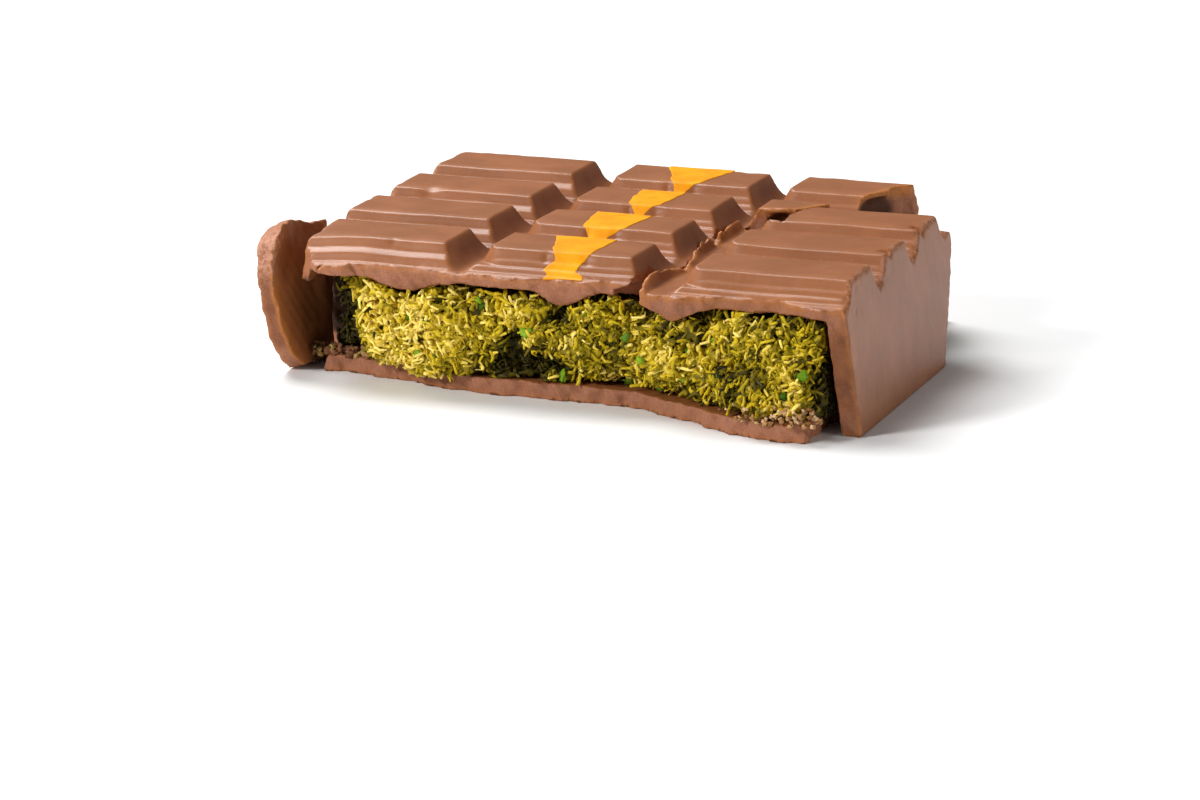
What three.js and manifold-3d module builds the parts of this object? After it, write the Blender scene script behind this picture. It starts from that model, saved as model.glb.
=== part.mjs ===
// Kunafa chocolate bar, one broken half: a moulded milk chocolate shell of three by four
// blocks, filled with shredded kadaif pastry in pistachio cream. Millimetres, +Z up.
// The origin is on the flat base, X runs across the three columns, the break faces -Y.

import * as THREE from 'three';
import { mergeVertices } from 'three/addons/utils/BufferGeometryUtils.js';
import Module from 'manifold-3d';

const wasm = await Module();
wasm.setup();

// Driving dimensions
const barHeight = 20;
const wallDraft = 2.85;                 // how much further out the foot of a wall is than its top
const leftEdge = -37.4;                 // outer top edges of the bar
const rightEdge = 36.6;
const backEdge = 30.4;
const columnGrooves = [{ at: -13.5, half: 3.1 }, { at: 12.6, half: 2.8 }];
const rowPitch = 16;
const firstRowGroove = -31.6;           // the bar broke along this groove
const rowGrooveHalf = 3.45;
const rowCount = 4;
const grooveDepth = 3.3;
const grooveFlare = 0.6;                // rounded shoulder beside each groove
const edgeRound = 0.9;
const wallThickness = 2.6;
const baseThickness = 2.3;
const ceilingHeight = 15.3;             // underside of the top plate, under a groove
const gap = 0.3;                        // clearance between neighbouring pieces

// The corner piece slid away from the bar and turned a little
const cornerShift = { x: 3.85, y: -2.6, turn: THREE.MathUtils.degToRad(1.2) };
const cornerPivot = { x: 38, y: -10 };
// The flake of the left wall leans outward and swings out at its front
const flakeHinge = { x: -39.9, y: -15.1 };
const flakeLean = THREE.MathUtils.degToRad(18);
const flakeSwing = THREE.MathUtils.degToRad(4);
const flakeThickness = 2.4;

const strandCount = 58;
const strandRadius = 0.55;

const beforeBreak = -48;                // the moulded body starts in front of the break
const far = 60;                         // past every face of the bar

const chocolate = new THREE.MeshStandardMaterial({ color: 0x8a5238, roughness: 0.42, metalness: 0 });
const chocolateCorner = chocolate.clone();
const chocolateFlake = chocolate.clone();
const kunafa = new THREE.MeshStandardMaterial({ color: 0xb9a92a, roughness: 0.7, metalness: 0 });

// Shapes and solids

function toSolid(geometry) {
  const bare = geometry.clone();
  bare.deleteAttribute('normal');
  bare.deleteAttribute('uv');
  const merged = mergeVertices(bare, 1e-4);
  return new wasm.Manifold(new wasm.Mesh({
    numProp: 3,
    vertProperties: new Float32Array(merged.attributes.position.array),
    triVerts: new Uint32Array(merged.index.array),
  }));
}

function toGeometry(solid) {
  const mesh = solid.getMesh();
  const geometry = new THREE.BufferGeometry();
  geometry.setAttribute('position', new THREE.BufferAttribute(new Float32Array(mesh.vertProperties), 3));
  geometry.setIndex(new THREE.BufferAttribute(new Uint32Array(mesh.triVerts), 1));
  geometry.computeVertexNormals();
  return geometry;
}

function reshape(geometry, place) {
  const position = geometry.attributes.position;
  const point = new THREE.Vector3();
  for (let i = 0; i < position.count; i += 1) {
    point.fromBufferAttribute(position, i);
    place(point);
    position.setXYZ(i, point.x, point.y, point.z);
  }
  return geometry;
}

function extrude(outline, depth, steps = 1) {
  const shape = new THREE.Shape(outline.map(([a, b]) => new THREE.Vector2(a, b)));
  return new THREE.ExtrudeGeometry(shape, { depth, steps, bevelEnabled: false });
}

// A plan outline of x, y points, from one height up to another
function upright(outline, bottom, top, steps = 1) {
  return extrude(outline, top - bottom, steps).translate(0, 0, bottom);
}

// A section of y, z points, carried along X
function alongX(section, from, to) {
  const turn = new THREE.Matrix4().makeBasis(
    new THREE.Vector3(0, 1, 0), new THREE.Vector3(0, 0, 1), new THREE.Vector3(1, 0, 0));
  return extrude(section, to - from).applyMatrix4(turn).translate(from, 0, 0);
}

// A section of x, z points, carried along Y
function alongY(section, from, to) {
  const turn = new THREE.Matrix4().makeBasis(
    new THREE.Vector3(0, 0, 1), new THREE.Vector3(1, 0, 0), new THREE.Vector3(0, 1, 0));
  const swapped = section.map(([x, z]) => [z, x]);
  return extrude(swapped, to - from).applyMatrix4(turn).translate(0, from, 0);
}

function smooth(from, to, value) {
  return THREE.MathUtils.smoothstep(value, from, to);
}

function hump(distance, width) {
  return Math.exp(-((distance / width) ** 2));
}

// Uneven fracture: three crossing waves of falling size, about -1 to 1
function ragged(a, b, seed) {
  return 0.5 * Math.sin(0.71 * a + 0.38 * b + seed)
    + 0.32 * Math.sin(1.63 * a - 0.94 * b + 2.3 * seed)
    + 0.18 * Math.sin(3.1 * a + 2.2 * b + 4.1 * seed);
}

// Points along straight stretches, close enough together to be roughened
function subdivide(corners, spacing) {
  const points = [];
  corners.forEach(([x, y], i) => {
    const [nextX, nextY] = corners[(i + 1) % corners.length];
    const length = Math.hypot(nextX - x, nextY - y);
    const parts = Math.hypot(x, y) > far && Math.hypot(nextX, nextY) > far
      ? 1 : Math.max(1, Math.round(length / spacing));
    for (let k = 0; k < parts; k += 1) {
      points.push([x + (nextX - x) * k / parts, y + (nextY - y) * k / parts]);
    }
  });
  return points;
}

// A fractured upright face: a plan outline with every wall pushed in and out unevenly
function fractured(corners, bottom, top, { spacing = 1.6, steps = 5, rough = 0.45, seed = 1 } = {}) {
  return reshape(upright(subdivide(corners, spacing), bottom, top, steps), (p) => {
    const { x, y, z } = p;
    p.x += rough * ragged(y, z, seed);
    p.y += rough * ragged(x, z, seed + 1.7);
  });
}

// The moulded body before it broke

function wallSection(low, high) {
  const r = edgeRound;
  const slope = wallDraft / barHeight;
  return [
    [low - wallDraft, 0], [high + wallDraft, 0],
    [high + slope * r, barHeight - r], [high - 0.3 * r, barHeight - 0.3 * r], [high - r, barHeight],
    [low + r, barHeight], [low + 0.3 * r, barHeight - 0.3 * r], [low - slope * r, barHeight - r],
  ];
}

// Depth of a groove at a distance from its middle: a round-bottomed valley
function grooveAt(distance, half) {
  const t = Math.abs(distance) / half;
  const shoulder = 0.3;
  if (t < 1) {
    return grooveDepth - (grooveDepth - shoulder) * t ** 1.7;
  }
  return shoulder * Math.max(0, 1 - (t - 1) * half / grooveFlare);
}

function grooveSection(at, half) {
  const reach = half + grooveFlare;
  const points = [[at - reach, barHeight + 1]];
  for (const t of [-reach / half, -1, -0.8, -0.55, -0.28, 0, 0.28, 0.55, 0.8, 1, reach / half]) {
    points.push([at + t * half, barHeight - grooveAt(t * half, half)]);
  }
  points.push([at + reach, barHeight + 1]);
  return points.reverse();
}

function rowGrooveAt(index) {
  return firstRowGroove + index * rowPitch;
}

function mouldedBody(columns) {
  const acrossBody = toSolid(alongY(wallSection(leftEdge, rightEdge), beforeBreak, far));
  const alongBody = toSolid(alongX(wallSection(-far, backEdge), -far, far));
  let body = acrossBody.intersect(alongBody);
  for (let i = 0; i < rowCount; i += 1) {
    body = body.subtract(toSolid(alongX(grooveSection(rowGrooveAt(i), rowGrooveHalf), -far, far)));
  }
  for (const { at, half } of columns) {
    body = body.subtract(toSolid(alongY(grooveSection(at, half), -far, far)));
  }
  return body;
}

// Underside of the top plate, with the three thick tongues that hang at the break
const tongues = [
  { at: -21, drop: 1.5, width: 4.5 },
  { at: 1, drop: 1.9, width: 3.0 },
  { at: 13.4, drop: 1.6, width: 3.2 },
];

function ceilingAt(x, y) {
  const nearBreak = 1 - smooth(-26, -14, y);
  const drop = tongues.reduce((sum, t) => sum + t.drop * hump(x - t.at, t.width), 0);
  return ceilingHeight - nearBreak * drop + 0.18 * ragged(0.8 * x, 0.8 * y, 0.4);
}

// The space inside the shell
function innerSpace() {
  const box = new THREE.BoxGeometry(1, 1, 1, 44, 12, 1);
  const slope = wallDraft / barHeight;
  return toSolid(reshape(box, (p) => {
    const depth = (p.y + 0.5) ** 1.6;
    const z = p.z < 0 ? baseThickness : ceilingHeight;
    const left = leftEdge - wallDraft + slope * z + wallThickness;
    const right = rightEdge + wallDraft - slope * z - wallThickness;
    const back = backEdge + wallDraft - slope * z - wallThickness;
    const x = THREE.MathUtils.lerp(left, right, p.x + 0.5);
    const y = p.y < -0.49 ? -far : THREE.MathUtils.lerp(-40, back, depth);
    p.set(x, y, p.z < 0 ? z : ceilingAt(x, y));
  }));
}

// The lines that the bar broke along

function rimAt(x) {
  const wave = 0.5 * Math.cos(2 * Math.PI * (x + 21) / 27);
  return firstRowGroove + 0.2 + wave + 3.2 * (1 - smooth(-37, -33, x));
}

function baseEdgeAt(x) {
  return -24.3 - 5 * smooth(-34, -9, x) - 10.6 * smooth(7, 34, x);
}

// Everything in front of an uneven line that runs across the bar
function inFrontOf(lineAt, bottom, top, options) {
  const corners = [[far, -far], [far, lineAt(rightEdge)]];
  for (let x = 42; x >= -42; x -= 3) {
    corners.push([x, lineAt(x)]);
  }
  corners.push([-far, lineAt(leftEdge)], [-far, -far]);
  return toSolid(fractured(corners.reverse(), bottom, top, options));
}

// Chocolate shell: top plate, end wall, what is left of the side walls, and base

const crack = [
  [10.9, -far - 5], [10.9, -30.4], [11.3, -24], [12.9, -18.5], [13.0, -15.5], [11.8, -7], [11.5, 8.9],
  [16.6, 7.6], [20.6, 8.0], [22.2, 10.5], [24.6, 15.2], [26.8, 19.5], [28.2, 23.5], [29.4, 28.2],
  [30.7, 29.2], [31.4, 34], [31.4, far + 5],
  [far + 5, far + 5], [far + 5, -far - 5],
];
const brokenEndSlope = 0.25;            // the face of the last block slants out as it goes down
const brokenEndReach = 1.4;
const leftWallEnd = -13.1;              // where what is left of the left wall broke off
const leftWallLean = 1.6;               // how far its upper part stands forward of its foot

function cornerOpening() {
  const geometry = upright(subdivide(crack, 1.5), 0, 1, 6);
  return toSolid(reshape(geometry, (p) => {
    const { x, y } = p;
    const z = baseThickness + p.z * (barHeight + 2 - baseThickness);
    const slant = smooth(14, 22, y) * smooth(20, 26, x) * brokenEndSlope * (barHeight - z);
    p.set(x + 0.35 * ragged(y, z, 2.2) + Math.min(slant, brokenEndReach), y + 0.35 * ragged(x, z, 5.1), z);
  }));
}

function makeShell() {
  const baseRight = [
    [37.9, -far - 5], [37.9, 6], [34.4, 34], [34.4, far + 5], [far + 5, far + 5], [far + 5, -far - 5],
  ];
  const leftOf = (x, rear) => [[-far - 5, -far - 5], [x, -far - 5], [x, rear], [-far - 5, rear]];
  const leftRough = { rough: 0.35, seed: 2.9 };
  const leftWall = fractured(leftOf(-33.6, leftWallEnd), baseThickness + 0.2, 13.4,
    { ...leftRough, steps: 4 });
  const leftFoot = fractured(leftOf(-35.3, leftWallEnd), -1, baseThickness + 0.5,
    { ...leftRough, steps: 2 });
  const leaningEnd = (p) => p.setY(p.y - leftWallLean * smooth(7, 11, p.z));
  const leftTop = fractured(leftOf(-36.3, -15.6), 13.3, barHeight + 2, { rough: 0.2, seed: 1.9, steps: 3 });
  return mouldedBody(columnGrooves)
    .subtract(innerSpace())
    .subtract(inFrontOf(rimAt, baseThickness + 0.4, barHeight + 2, { rough: 0.45, seed: 1.1, spacing: 2 }))
    .subtract(inFrontOf(baseEdgeAt, -1, baseThickness + 1, { rough: 0.6, seed: 3.4, steps: 2 }))
    .subtract(cornerOpening())
    .subtract(toSolid(fractured(baseRight, -1, baseThickness + 1, { rough: 0.4, seed: 0.6, steps: 2 })))
    .subtract(toSolid(leftTop))
    .subtract(toSolid(reshape(leftWall, leaningEnd)))
    .subtract(toSolid(leftFoot));
}

// Corner piece: three blocks of the right column with their side wall

function cornerGroove() {
  // The valley on the left of its blocks, whose floor runs on flat to a lip beside the crack
  const { at, half } = columnGrooves[1];
  const floor = barHeight - grooveDepth;
  const section = grooveSection(at, half).filter(([x]) => x > at - 0.01);
  const lip = [[at - 2.1, floor], [at - 2.9, floor + 0.75], [at - 4.2, floor + 0.9]];
  return toSolid(alongY([...section, ...lip, [at - 12, barHeight + 1]], -far, far));
}

const cornerPlate = [
  [8.4, -far - 5], [8.5, -24], [9.8, -17], [9.8, -12.5], [8.7, -5], [9.0, 10.9], [13.2, 9.5],
  [14.2, 5.2], [17.4, 4.4], [17.8, 10.6], [20.9, 16.4], [30, 17.0], [far + 5, 17.0], [far + 5, -far - 5],
];
const cornerWallRear = [[17.6, barHeight + 2], [17.6, 16.9], [20.2, 16.6], [9.0, 0], [8.4, -1]];

function makeCorner() {
  const keep = toSolid(fractured([...cornerPlate].reverse(), ceilingHeight - 4, barHeight + 2,
    { rough: 0.3, seed: 4.6, steps: 5, spacing: 1.5 }));
  const wallBand = toSolid(upright([[30, -far], [far, -far], [far, far], [30, far]], -1, barHeight + 2));
  const wallOutline = [[-far, -1], ...cornerWallRear.slice().reverse(), [-far, barHeight + 2]];
  const wallKeep = toSolid(alongX(wallOutline, 25, far)).intersect(wallBand);
  const innerFace = (z) => rightEdge + wallDraft * (1 - z / barHeight) - wallThickness;
  const baseTop = baseThickness + 1;
  const underWall = [[-far, -1], [innerFace(-1), -1], [innerFace(baseTop), baseTop], [-far, baseTop]];
  const frontLine = (x) => -31.2 + 0.7 * Math.sin(0.33 * x) - 0.8 * smooth(30, 38, x);
  return mouldedBody([])
    .subtract(cornerGroove())
    .subtract(innerSpace())
    .intersect(keep.add(wallKeep))
    .subtract(toSolid(alongY(underWall, -far, far)))
    .subtract(inFrontOf(frontLine, -1, barHeight + 2, { rough: 0.4, seed: 5.2, steps: 8 }));
}

// Flake: a curved-edged panel of the left wall, modelled upright with its hinge foot at the origin

function makeFlake() {
  const rows = 9;
  const along = 7;
  const panel = new THREE.BoxGeometry(1, 1, 1, 1, along, rows);
  return toSolid(reshape(panel, (p) => {
    const level = p.z + 0.5;
    const z = level * barHeight;
    const belly = Math.sqrt(Math.max(0, 1 - ((z - 11) / 11.5) ** 2));
    const front = -8 - 6.8 * belly + 2.6 * smooth(17, 20, z) + 0.3 * ragged(z, p.x, 1.4);
    const rear = -0.5 + 3.6 * smooth(0.15, 0.8, level) + 0.25 * ragged(z, p.x, 3.3);
    const y = THREE.MathUtils.lerp(front, rear, p.y + 0.5);
    const rim = 0.5 + 1.6 * smooth(-9, 3, y) + 0.25 * ragged(y, 1, 2.2);
    const crown = smooth(14, 18.5, z) * (1 - smooth(-12, -5, y));
    const x = p.x < 0 ? 0 : flakeThickness + 0.9 * crown + 0.12 * ragged(y, z, 0.9);
    p.set(x + wallDraft * level, y, z - rim * smooth(0.6, 1, level));
  }));
}

// Filling: pastry shreds in cream, exposed where the shell is open

const hollows = [
  { x: 0.5, z: 7.0, wide: 3.4, deep: 2.6 },
  { x: 28.5, z: 13.2, wide: 1.6, deep: 1.6 },
  { x: 8.5, z: 10.4, wide: 1.5, deep: 1.4 },
  { x: -32.5, z: 8.0, wide: 3.2, deep: 4.2 },
  { x: -9.5, z: 6.5, wide: 2.2, deep: 1.3 },
];

// How far the filling's foot lies back, so that the base shows as a ledge in front of it
function footAt(x, z) {
  const ledge = 4.2 * hump(x - 13, 8) + 6 * (1 - smooth(-32, -17, x));
  return ledge * (1 - smooth(2.6, 6.5, z));
}

function breakFaceAt(x, z) {
  const lean = (1 - smooth(2, 11, z)) * 4.6 * smooth(12, 34, x);
  const line = -28.6 - 2.6 * smooth(-33, -8, x) - 3.4 * smooth(10, 30, x) - lean;
  const holes = hollows.reduce((sum, h) => sum + h.deep * hump(x - h.x, h.wide) * hump(z - h.z, h.wide), 0);
  const lumps = 0.55 * ragged(1.5 * x, 1.7 * z, 0.7);
  const grain = 0.45 * Math.sin(2.9 * x + 1.3) * Math.sin(2.5 * z + 0.4);
  return line + holes + lumps + grain + footAt(x, z) + 0.8 * (1 - hump(z - 8, 7));
}

function rightFaceAt(y, z) {
  const nominal = rightEdge + wallDraft * (1 - z / barHeight) - wallThickness - gap;
  const pulled = 39.5 - 0.09 * z - 1.2 * smooth(-34, 8, y);
  return THREE.MathUtils.lerp(pulled, nominal, smooth(6, 20, y));
}

function leftFaceAt(y, z) {
  const nominal = leftEdge - wallDraft * (1 - z / barHeight) + wallThickness + gap;
  return nominal + (2.4 + 0.5 * ragged(y, z, 2.6)) * (1 - smooth(-20, -12, y));
}

// Height that the filling may reach: under the top plate, and under the corner piece where it lies
function roofAt(x, y) {
  const onCorner = new THREE.Vector2(x - cornerPivot.x - cornerShift.x, y - cornerPivot.y - cornerShift.y)
    .rotateAround(new THREE.Vector2(), -cornerShift.turn);
  const underCorner = ceilingAt(onCorner.x + cornerPivot.x, onCorner.y + cornerPivot.y);
  return Math.min(ceilingAt(x, y), underCorner) - gap - 0.25;
}

function fillingRoom() {
  const box = new THREE.BoxGeometry(1, 1, 1, 36, 9, 1);
  return toSolid(reshape(box, (p) => {
    const z = p.z < 0 ? baseThickness + gap : ceilingHeight - 1;
    const back = backEdge + wallDraft * (1 - z / barHeight) - wallThickness - gap;
    const y = THREE.MathUtils.lerp(-42, back, (p.y + 0.5) ** 1.3);
    const x = THREE.MathUtils.lerp(leftFaceAt(y, z), rightFaceAt(y, z), p.x + 0.5);
    p.set(x, y, p.z < 0 ? z : roofAt(x, y));
  }));
}

function fillingBreak() {
  const slab = new THREE.BoxGeometry(1, 1, 1, 52, 1, 10);
  return toSolid(reshape(slab, (p) => {
    const x = THREE.MathUtils.lerp(-39, 42, p.x + 0.5);
    const z = THREE.MathUtils.lerp(1, 16, p.z + 0.5);
    p.set(x, p.y < 0 ? breakFaceAt(x, z) : far, z);
  }));
}

// Even spread without a table: each strand takes the next step of two golden-ratio walks
function spread(index, stride) {
  return (index * stride) % 1;
}

function strand(index) {
  const x = THREE.MathUtils.lerp(-30.2, 36.2, spread(index + 0.5, 0.7548776662));
  const z = THREE.MathUtils.lerp(4.4, 12.6, spread(index + 0.5, 0.5698402910));
  const y = breakFaceAt(x, z);
  const reach = 1.6 + 1.5 * spread(index, 0.381966);
  const tilt = Math.PI * (spread(index, 0.2360679) - 0.5);
  const lift = 0.3 + 0.8 * spread(index, 0.137);
  const run = new THREE.Vector3(Math.cos(tilt), 0, Math.sin(tilt)).multiplyScalar(reach);
  const path = new THREE.CatmullRomCurve3([
    new THREE.Vector3(x, y + 0.5, z).sub(run),
    new THREE.Vector3(x, y - 0.35 - 0.4 * lift, z),
    new THREE.Vector3(x, y + 0.1 - lift, z).add(run),
  ]);
  const section = new THREE.Shape();
  const sides = 5;
  for (let k = 0; k < sides; k += 1) {
    const angle = 2 * Math.PI * k / sides;
    const point = [strandRadius * Math.cos(angle), strandRadius * Math.sin(angle)];
    section[k === 0 ? 'moveTo' : 'lineTo'](...point);
  }
  return toSolid(new THREE.ExtrudeGeometry(section, { steps: 3, extrudePath: path, bevelEnabled: false }));
}

function makeFilling() {
  let filling = fillingBreak();
  for (let i = 0; i < strandCount; i += 1) {
    filling = filling.add(strand(i));
  }
  return filling.intersect(fillingRoom());
}

// Assembly

function named(name, solid, material) {
  const mesh = new THREE.Mesh(toGeometry(solid), material);
  mesh.name = name;
  return mesh;
}

const group = new THREE.Group();
group.add(named('chocolate_shell', makeShell(), chocolate));

const cornerGroup = new THREE.Group();
cornerGroup.position.set(cornerPivot.x + cornerShift.x, cornerPivot.y + cornerShift.y, 0);
cornerGroup.rotation.z = cornerShift.turn;
const corner = named('broken_corner', makeCorner(), chocolateCorner);
corner.position.set(-cornerPivot.x, -cornerPivot.y, 0);
cornerGroup.add(corner);
group.add(cornerGroup);

const flake = named('wall_flake', makeFlake(), chocolateFlake);
flake.rotation.set(0, -flakeLean, 0);
const flakeGroup = new THREE.Group();
flakeGroup.position.set(flakeHinge.x, flakeHinge.y, 0);
flakeGroup.rotation.z = -flakeSwing;
flakeGroup.add(flake);
group.add(flakeGroup);

group.add(named('kunafa_filling', makeFilling(), kunafa));

export default group;
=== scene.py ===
"""Kunafa chocolate bar, one broken half, dressed for its render.

The chocolate pieces and the filling's core are worked out as fields: a field gives, for each
point, how far it lies outside a shape, so cuts and joins are a maximum or a minimum. A surface
is drawn where the field is zero. Lengths are millimetres until a mesh is made.
"""

import math

import bpy
import numpy as np
from mathutils import Matrix, Vector


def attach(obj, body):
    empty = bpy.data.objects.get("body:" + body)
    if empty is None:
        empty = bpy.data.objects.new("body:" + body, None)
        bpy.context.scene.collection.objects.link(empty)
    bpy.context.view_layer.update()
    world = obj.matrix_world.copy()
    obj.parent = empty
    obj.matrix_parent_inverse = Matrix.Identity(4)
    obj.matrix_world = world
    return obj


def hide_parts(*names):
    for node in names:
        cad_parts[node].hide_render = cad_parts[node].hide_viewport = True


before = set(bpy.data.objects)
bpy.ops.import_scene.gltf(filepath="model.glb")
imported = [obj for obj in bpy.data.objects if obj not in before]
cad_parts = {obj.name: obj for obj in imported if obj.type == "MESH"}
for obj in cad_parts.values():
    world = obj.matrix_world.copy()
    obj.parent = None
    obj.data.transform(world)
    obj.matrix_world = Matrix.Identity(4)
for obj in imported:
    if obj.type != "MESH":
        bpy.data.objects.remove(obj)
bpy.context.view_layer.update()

MM = 0.001

# Driving dimensions of the bar, as in its solids, with the edges at the top of the walls
BAR_HEIGHT = 20.0
WALL_DRAFT = 2.85               # how much further out a wall stands at its foot
LEFT_EDGE = -37.4
LEFT_DRAWN_IN = 1.1             # the first block's outer end lost its skin with the flake
RIGHT_EDGE = 36.6
BACK_EDGE = 30.4
COLUMN_GROOVES = ((-13.5, 3.1), (12.6, 2.8))    # each as x and half width
ROW_PITCH = 16.0
FIRST_ROW_GROOVE = -31.6
ROW_GROOVE_FRONT = 3.45         # from a row groove's middle to the block behind it
ROW_GROOVE_BACK = 2.9           # and to the block before it
ROW_COUNT = 4
GROOVE_DEPTH = 3.3
EDGE_ROUND = 0.7                # where the walls meet the top face
WALL_THICKNESS = 2.6
BASE_THICKNESS = 2.3
CEILING_HEIGHT = 15.3           # underside of the top plate
GAP = 0.3                       # between the filling and the chocolate round it
SLOPE = WALL_DRAFT / BAR_HEIGHT  # how far a wall comes in for each millimetre up
UPRIGHT = 1 / math.hypot(1, SLOPE)  # true distance from a wall for each millimetre across
FAR = 60.0                      # well outside the bar, where open outlines close
BLOCK_PLAN_ROUND = 2.4          # a block's front left corner, seen from above
WALL_ROUND = 1.2                # the upright edges of the bar
FOOT_ROUND = 0.5
BREAK_ROUND = 0.15              # where a break meets a face
LINING_ROUND = 0.3              # where the hollow meets the outside
TOP_SLANT = 0.82                # true distance from the top face for each millimetre above it

# Where the broken pieces lie
CORNER_SHIFT = (3.85, -2.6)
CORNER_TURN = math.radians(1.2)
CORNER_PIVOT = (38.0, -10.0)
FLAKE_HINGE = (-39.9, -15.1)
FLAKE_LEAN = math.radians(18)
FLAKE_SWING = math.radians(4)
FLAKE_THICKNESS = 2.4

# Fineness of the drawn surfaces
SHELL_STEP = 0.36
CORE_STEP = 0.7
MAT_STEP = 0.3
MAT_LOW, MAT_HIGH = (-38.2, -42.2, 1.9), (40.6, -18.2, 16.8)
CORE_FRONT = -18.8              # the plain core starts a little before the mat ends
SHELL_TRIANGLES = 185000
CORNER_TRIANGLES = 95000


# Shapes of numbers

def smoothstep(low, high, value):
    """0 below low, 1 above high, and 3t^2 - 2t^3 between. With low above high it falls instead."""
    t = np.clip((value - low) / (high - low), 0, 1)
    return t * t * (3 - 2 * t)


def hump(distance, width):
    """A bell: e to the minus (distance / width) squared."""
    return np.exp(-(distance / width) ** 2)


def mix(a, b, share):
    """A straight blend from a to b."""
    return a + (b - a) * share


def ragged(a, b, seed):
    """Uneven fracture, about -1 to 1: three crossing sine waves of falling size."""
    return (0.5 * np.sin(0.71 * a + 0.38 * b + seed)
            + 0.32 * np.sin(1.63 * a - 0.94 * b + 2.3 * seed)
            + 0.18 * np.sin(3.1 * a + 2.2 * b + 4.1 * seed))


def round_max(a, b, radius):
    """The greater of two fields, with the edge between them rounded off."""
    near = np.clip(radius - np.abs(a - b), 0, None) / radius
    return np.maximum(a, b) + near * near * radius / 4


def round_min(a, b, radius):
    """The lesser of two fields, with the inner corner between them filled in."""
    return -round_max(-a, -b, radius)


def cut_away(field, region, radius):
    """A shape less a region: the greater of the field and the region turned inside out."""
    return round_max(field, -region, radius)


LATTICE_SIDE = 32
LATTICES = [np.random.default_rng(seed).uniform(-1, 1, LATTICE_SIDE ** 3).astype(np.float32)
            for seed in range(6)]


def noise(x, y, z, size, seed):
    """Soft lumps from -1 to 1: random values a lump apart on a cubic lattice, joined by smoothsteps."""
    low, high, share = [], [], []
    for axis, stride in zip((x, y, z), (LATTICE_SIDE ** 2, LATTICE_SIDE, 1)):
        place = axis / size + 16.3 + seed
        whole = np.floor(place)
        part = place - whole
        whole = whole.astype(np.int32)
        low.append((whole % LATTICE_SIDE) * stride)
        high.append(((whole + 1) % LATTICE_SIDE) * stride)
        share.append(part * part * (3 - 2 * part))
    table = LATTICES[seed % len(LATTICES)]

    def along_z(i, j):
        start = table[i + j + low[2]]
        return start + (table[i + j + high[2]] - start) * share[2]

    near = mix(along_z(low[0], low[1]), along_z(low[0], high[1]), share[1])
    away = mix(along_z(high[0], low[1]), along_z(high[0], high[1]), share[1])
    return mix(near, away, share[0])


def fracture_relief(x, y, z):
    """How far a broken face stands proud: lumps of 3, 1.2 and 0.6 mm, each half as high as the last."""
    return (0.30 * noise(x, y, z, 3.0, 0) + 0.17 * noise(x, y, z, 1.2, 1)
            + 0.08 * noise(x, y, z, 0.6, 2))


def outline_distance(x, y, outline):
    """Distance outside a closed outline, negative inside.

    It is the least distance to any side, and a point is inside where a line from it crosses the
    outline an odd number of times.
    """
    least = np.full(np.broadcast(x, y).shape, 1e9, np.float32)
    inside = np.zeros(least.shape, bool)
    for (ax, ay), (bx, by) in zip(outline, outline[1:] + outline[:1]):
        dx, dy = bx - ax, by - ay
        along = np.clip(((x - ax) * dx + (y - ay) * dy) / (dx * dx + dy * dy), 0, 1)
        least = np.minimum(least, (x - ax - along * dx) ** 2 + (y - ay - along * dy) ** 2)
        if dy != 0:
            crosses = ((ay > y) != (by > y)) & (x < ax + (y - ay) * dx / dy)
            inside ^= crosses
    return np.sqrt(least) * np.where(inside, -1, 1)


# The moulded body before it broke

def groove_depth(distance, half, shoulder=0.7, power=1.9):
    """A round-bottomed valley: full depth in the middle, less by a power of t, with rounded shoulders."""
    t = np.abs(distance) / half
    return round_max(GROOVE_DEPTH * (1 - t ** power), 0 * t, shoulder)


def block_front_depth(distance):
    """Depth in front of a block, from its front edge inward to the groove's middle.

    It is a sum of smoothsteps: a soft shoulder, a steep bevel, a gentle slope, a second step,
    and a floor that falls on slightly.
    """
    inward = ROW_GROOVE_FRONT - distance
    shoulder, bevel = 0.22 * smoothstep(-1.8, 0.2, inward), 1.15 * smoothstep(-0.5, 0.65, inward)
    slope, floor = 0.75 * smoothstep(0.2, 2.4, inward), 0.12 * np.clip(inward - 2.3, 0, None)
    second_step = 0.8 * smoothstep(1.5, 2.5, inward)
    return (shoulder + bevel) + (slope + floor) + second_step


def past_row_groove(y):
    """How far a place lies behind the middle of the nearest row groove."""
    index = np.clip(np.round((y - FIRST_ROW_GROOVE) / ROW_PITCH), 0, ROW_COUNT - 1)
    return y - FIRST_ROW_GROOVE - index * ROW_PITCH


def row_depth(y):
    """Depth of the nearest row groove, with a rounder and lower shoulder on the block behind it."""
    distance = past_row_groove(y)
    before = groove_depth(distance, ROW_GROOVE_BACK, shoulder=0.4, power=2.4)
    return mix(before, block_front_depth(np.abs(distance)), smoothstep(-0.6, 0.6, distance))


def settled(x, y):
    """Slight unevenness of a moulded face: waves of 9 and 3.5 mm, under a tenth high."""
    return 0.09 * noise(x, y, 0 * x, 9.0, 3) + 0.05 * noise(x, y, 0 * x, 3.5, 4)


def block_front(row):
    """Front top edge of a row of blocks."""
    return FIRST_ROW_GROOVE + row * ROW_PITCH + ROW_GROOVE_FRONT


def notches(x, y):
    """Small dents in the front edge of each block, on both sides of the stripe."""
    dents = 0
    for row in range(ROW_COUNT):
        right_dent = 1.9 if row else 3.7
        for at, long in ((-2.0, 0.55), (right_dent, 0.8)):
            dents = dents + 0.35 * hump(x - at, long) * hump(y - block_front(row) + 0.1, 0.45)
    return dents


JOIN_ROUND = 0.7


def joined(a, b):
    """The deeper of two depths, with the edge between them rounded, but level where both are 0."""
    return round_max(a, b, np.minimum(JOIN_ROUND, 0.05 + a + b))


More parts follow.
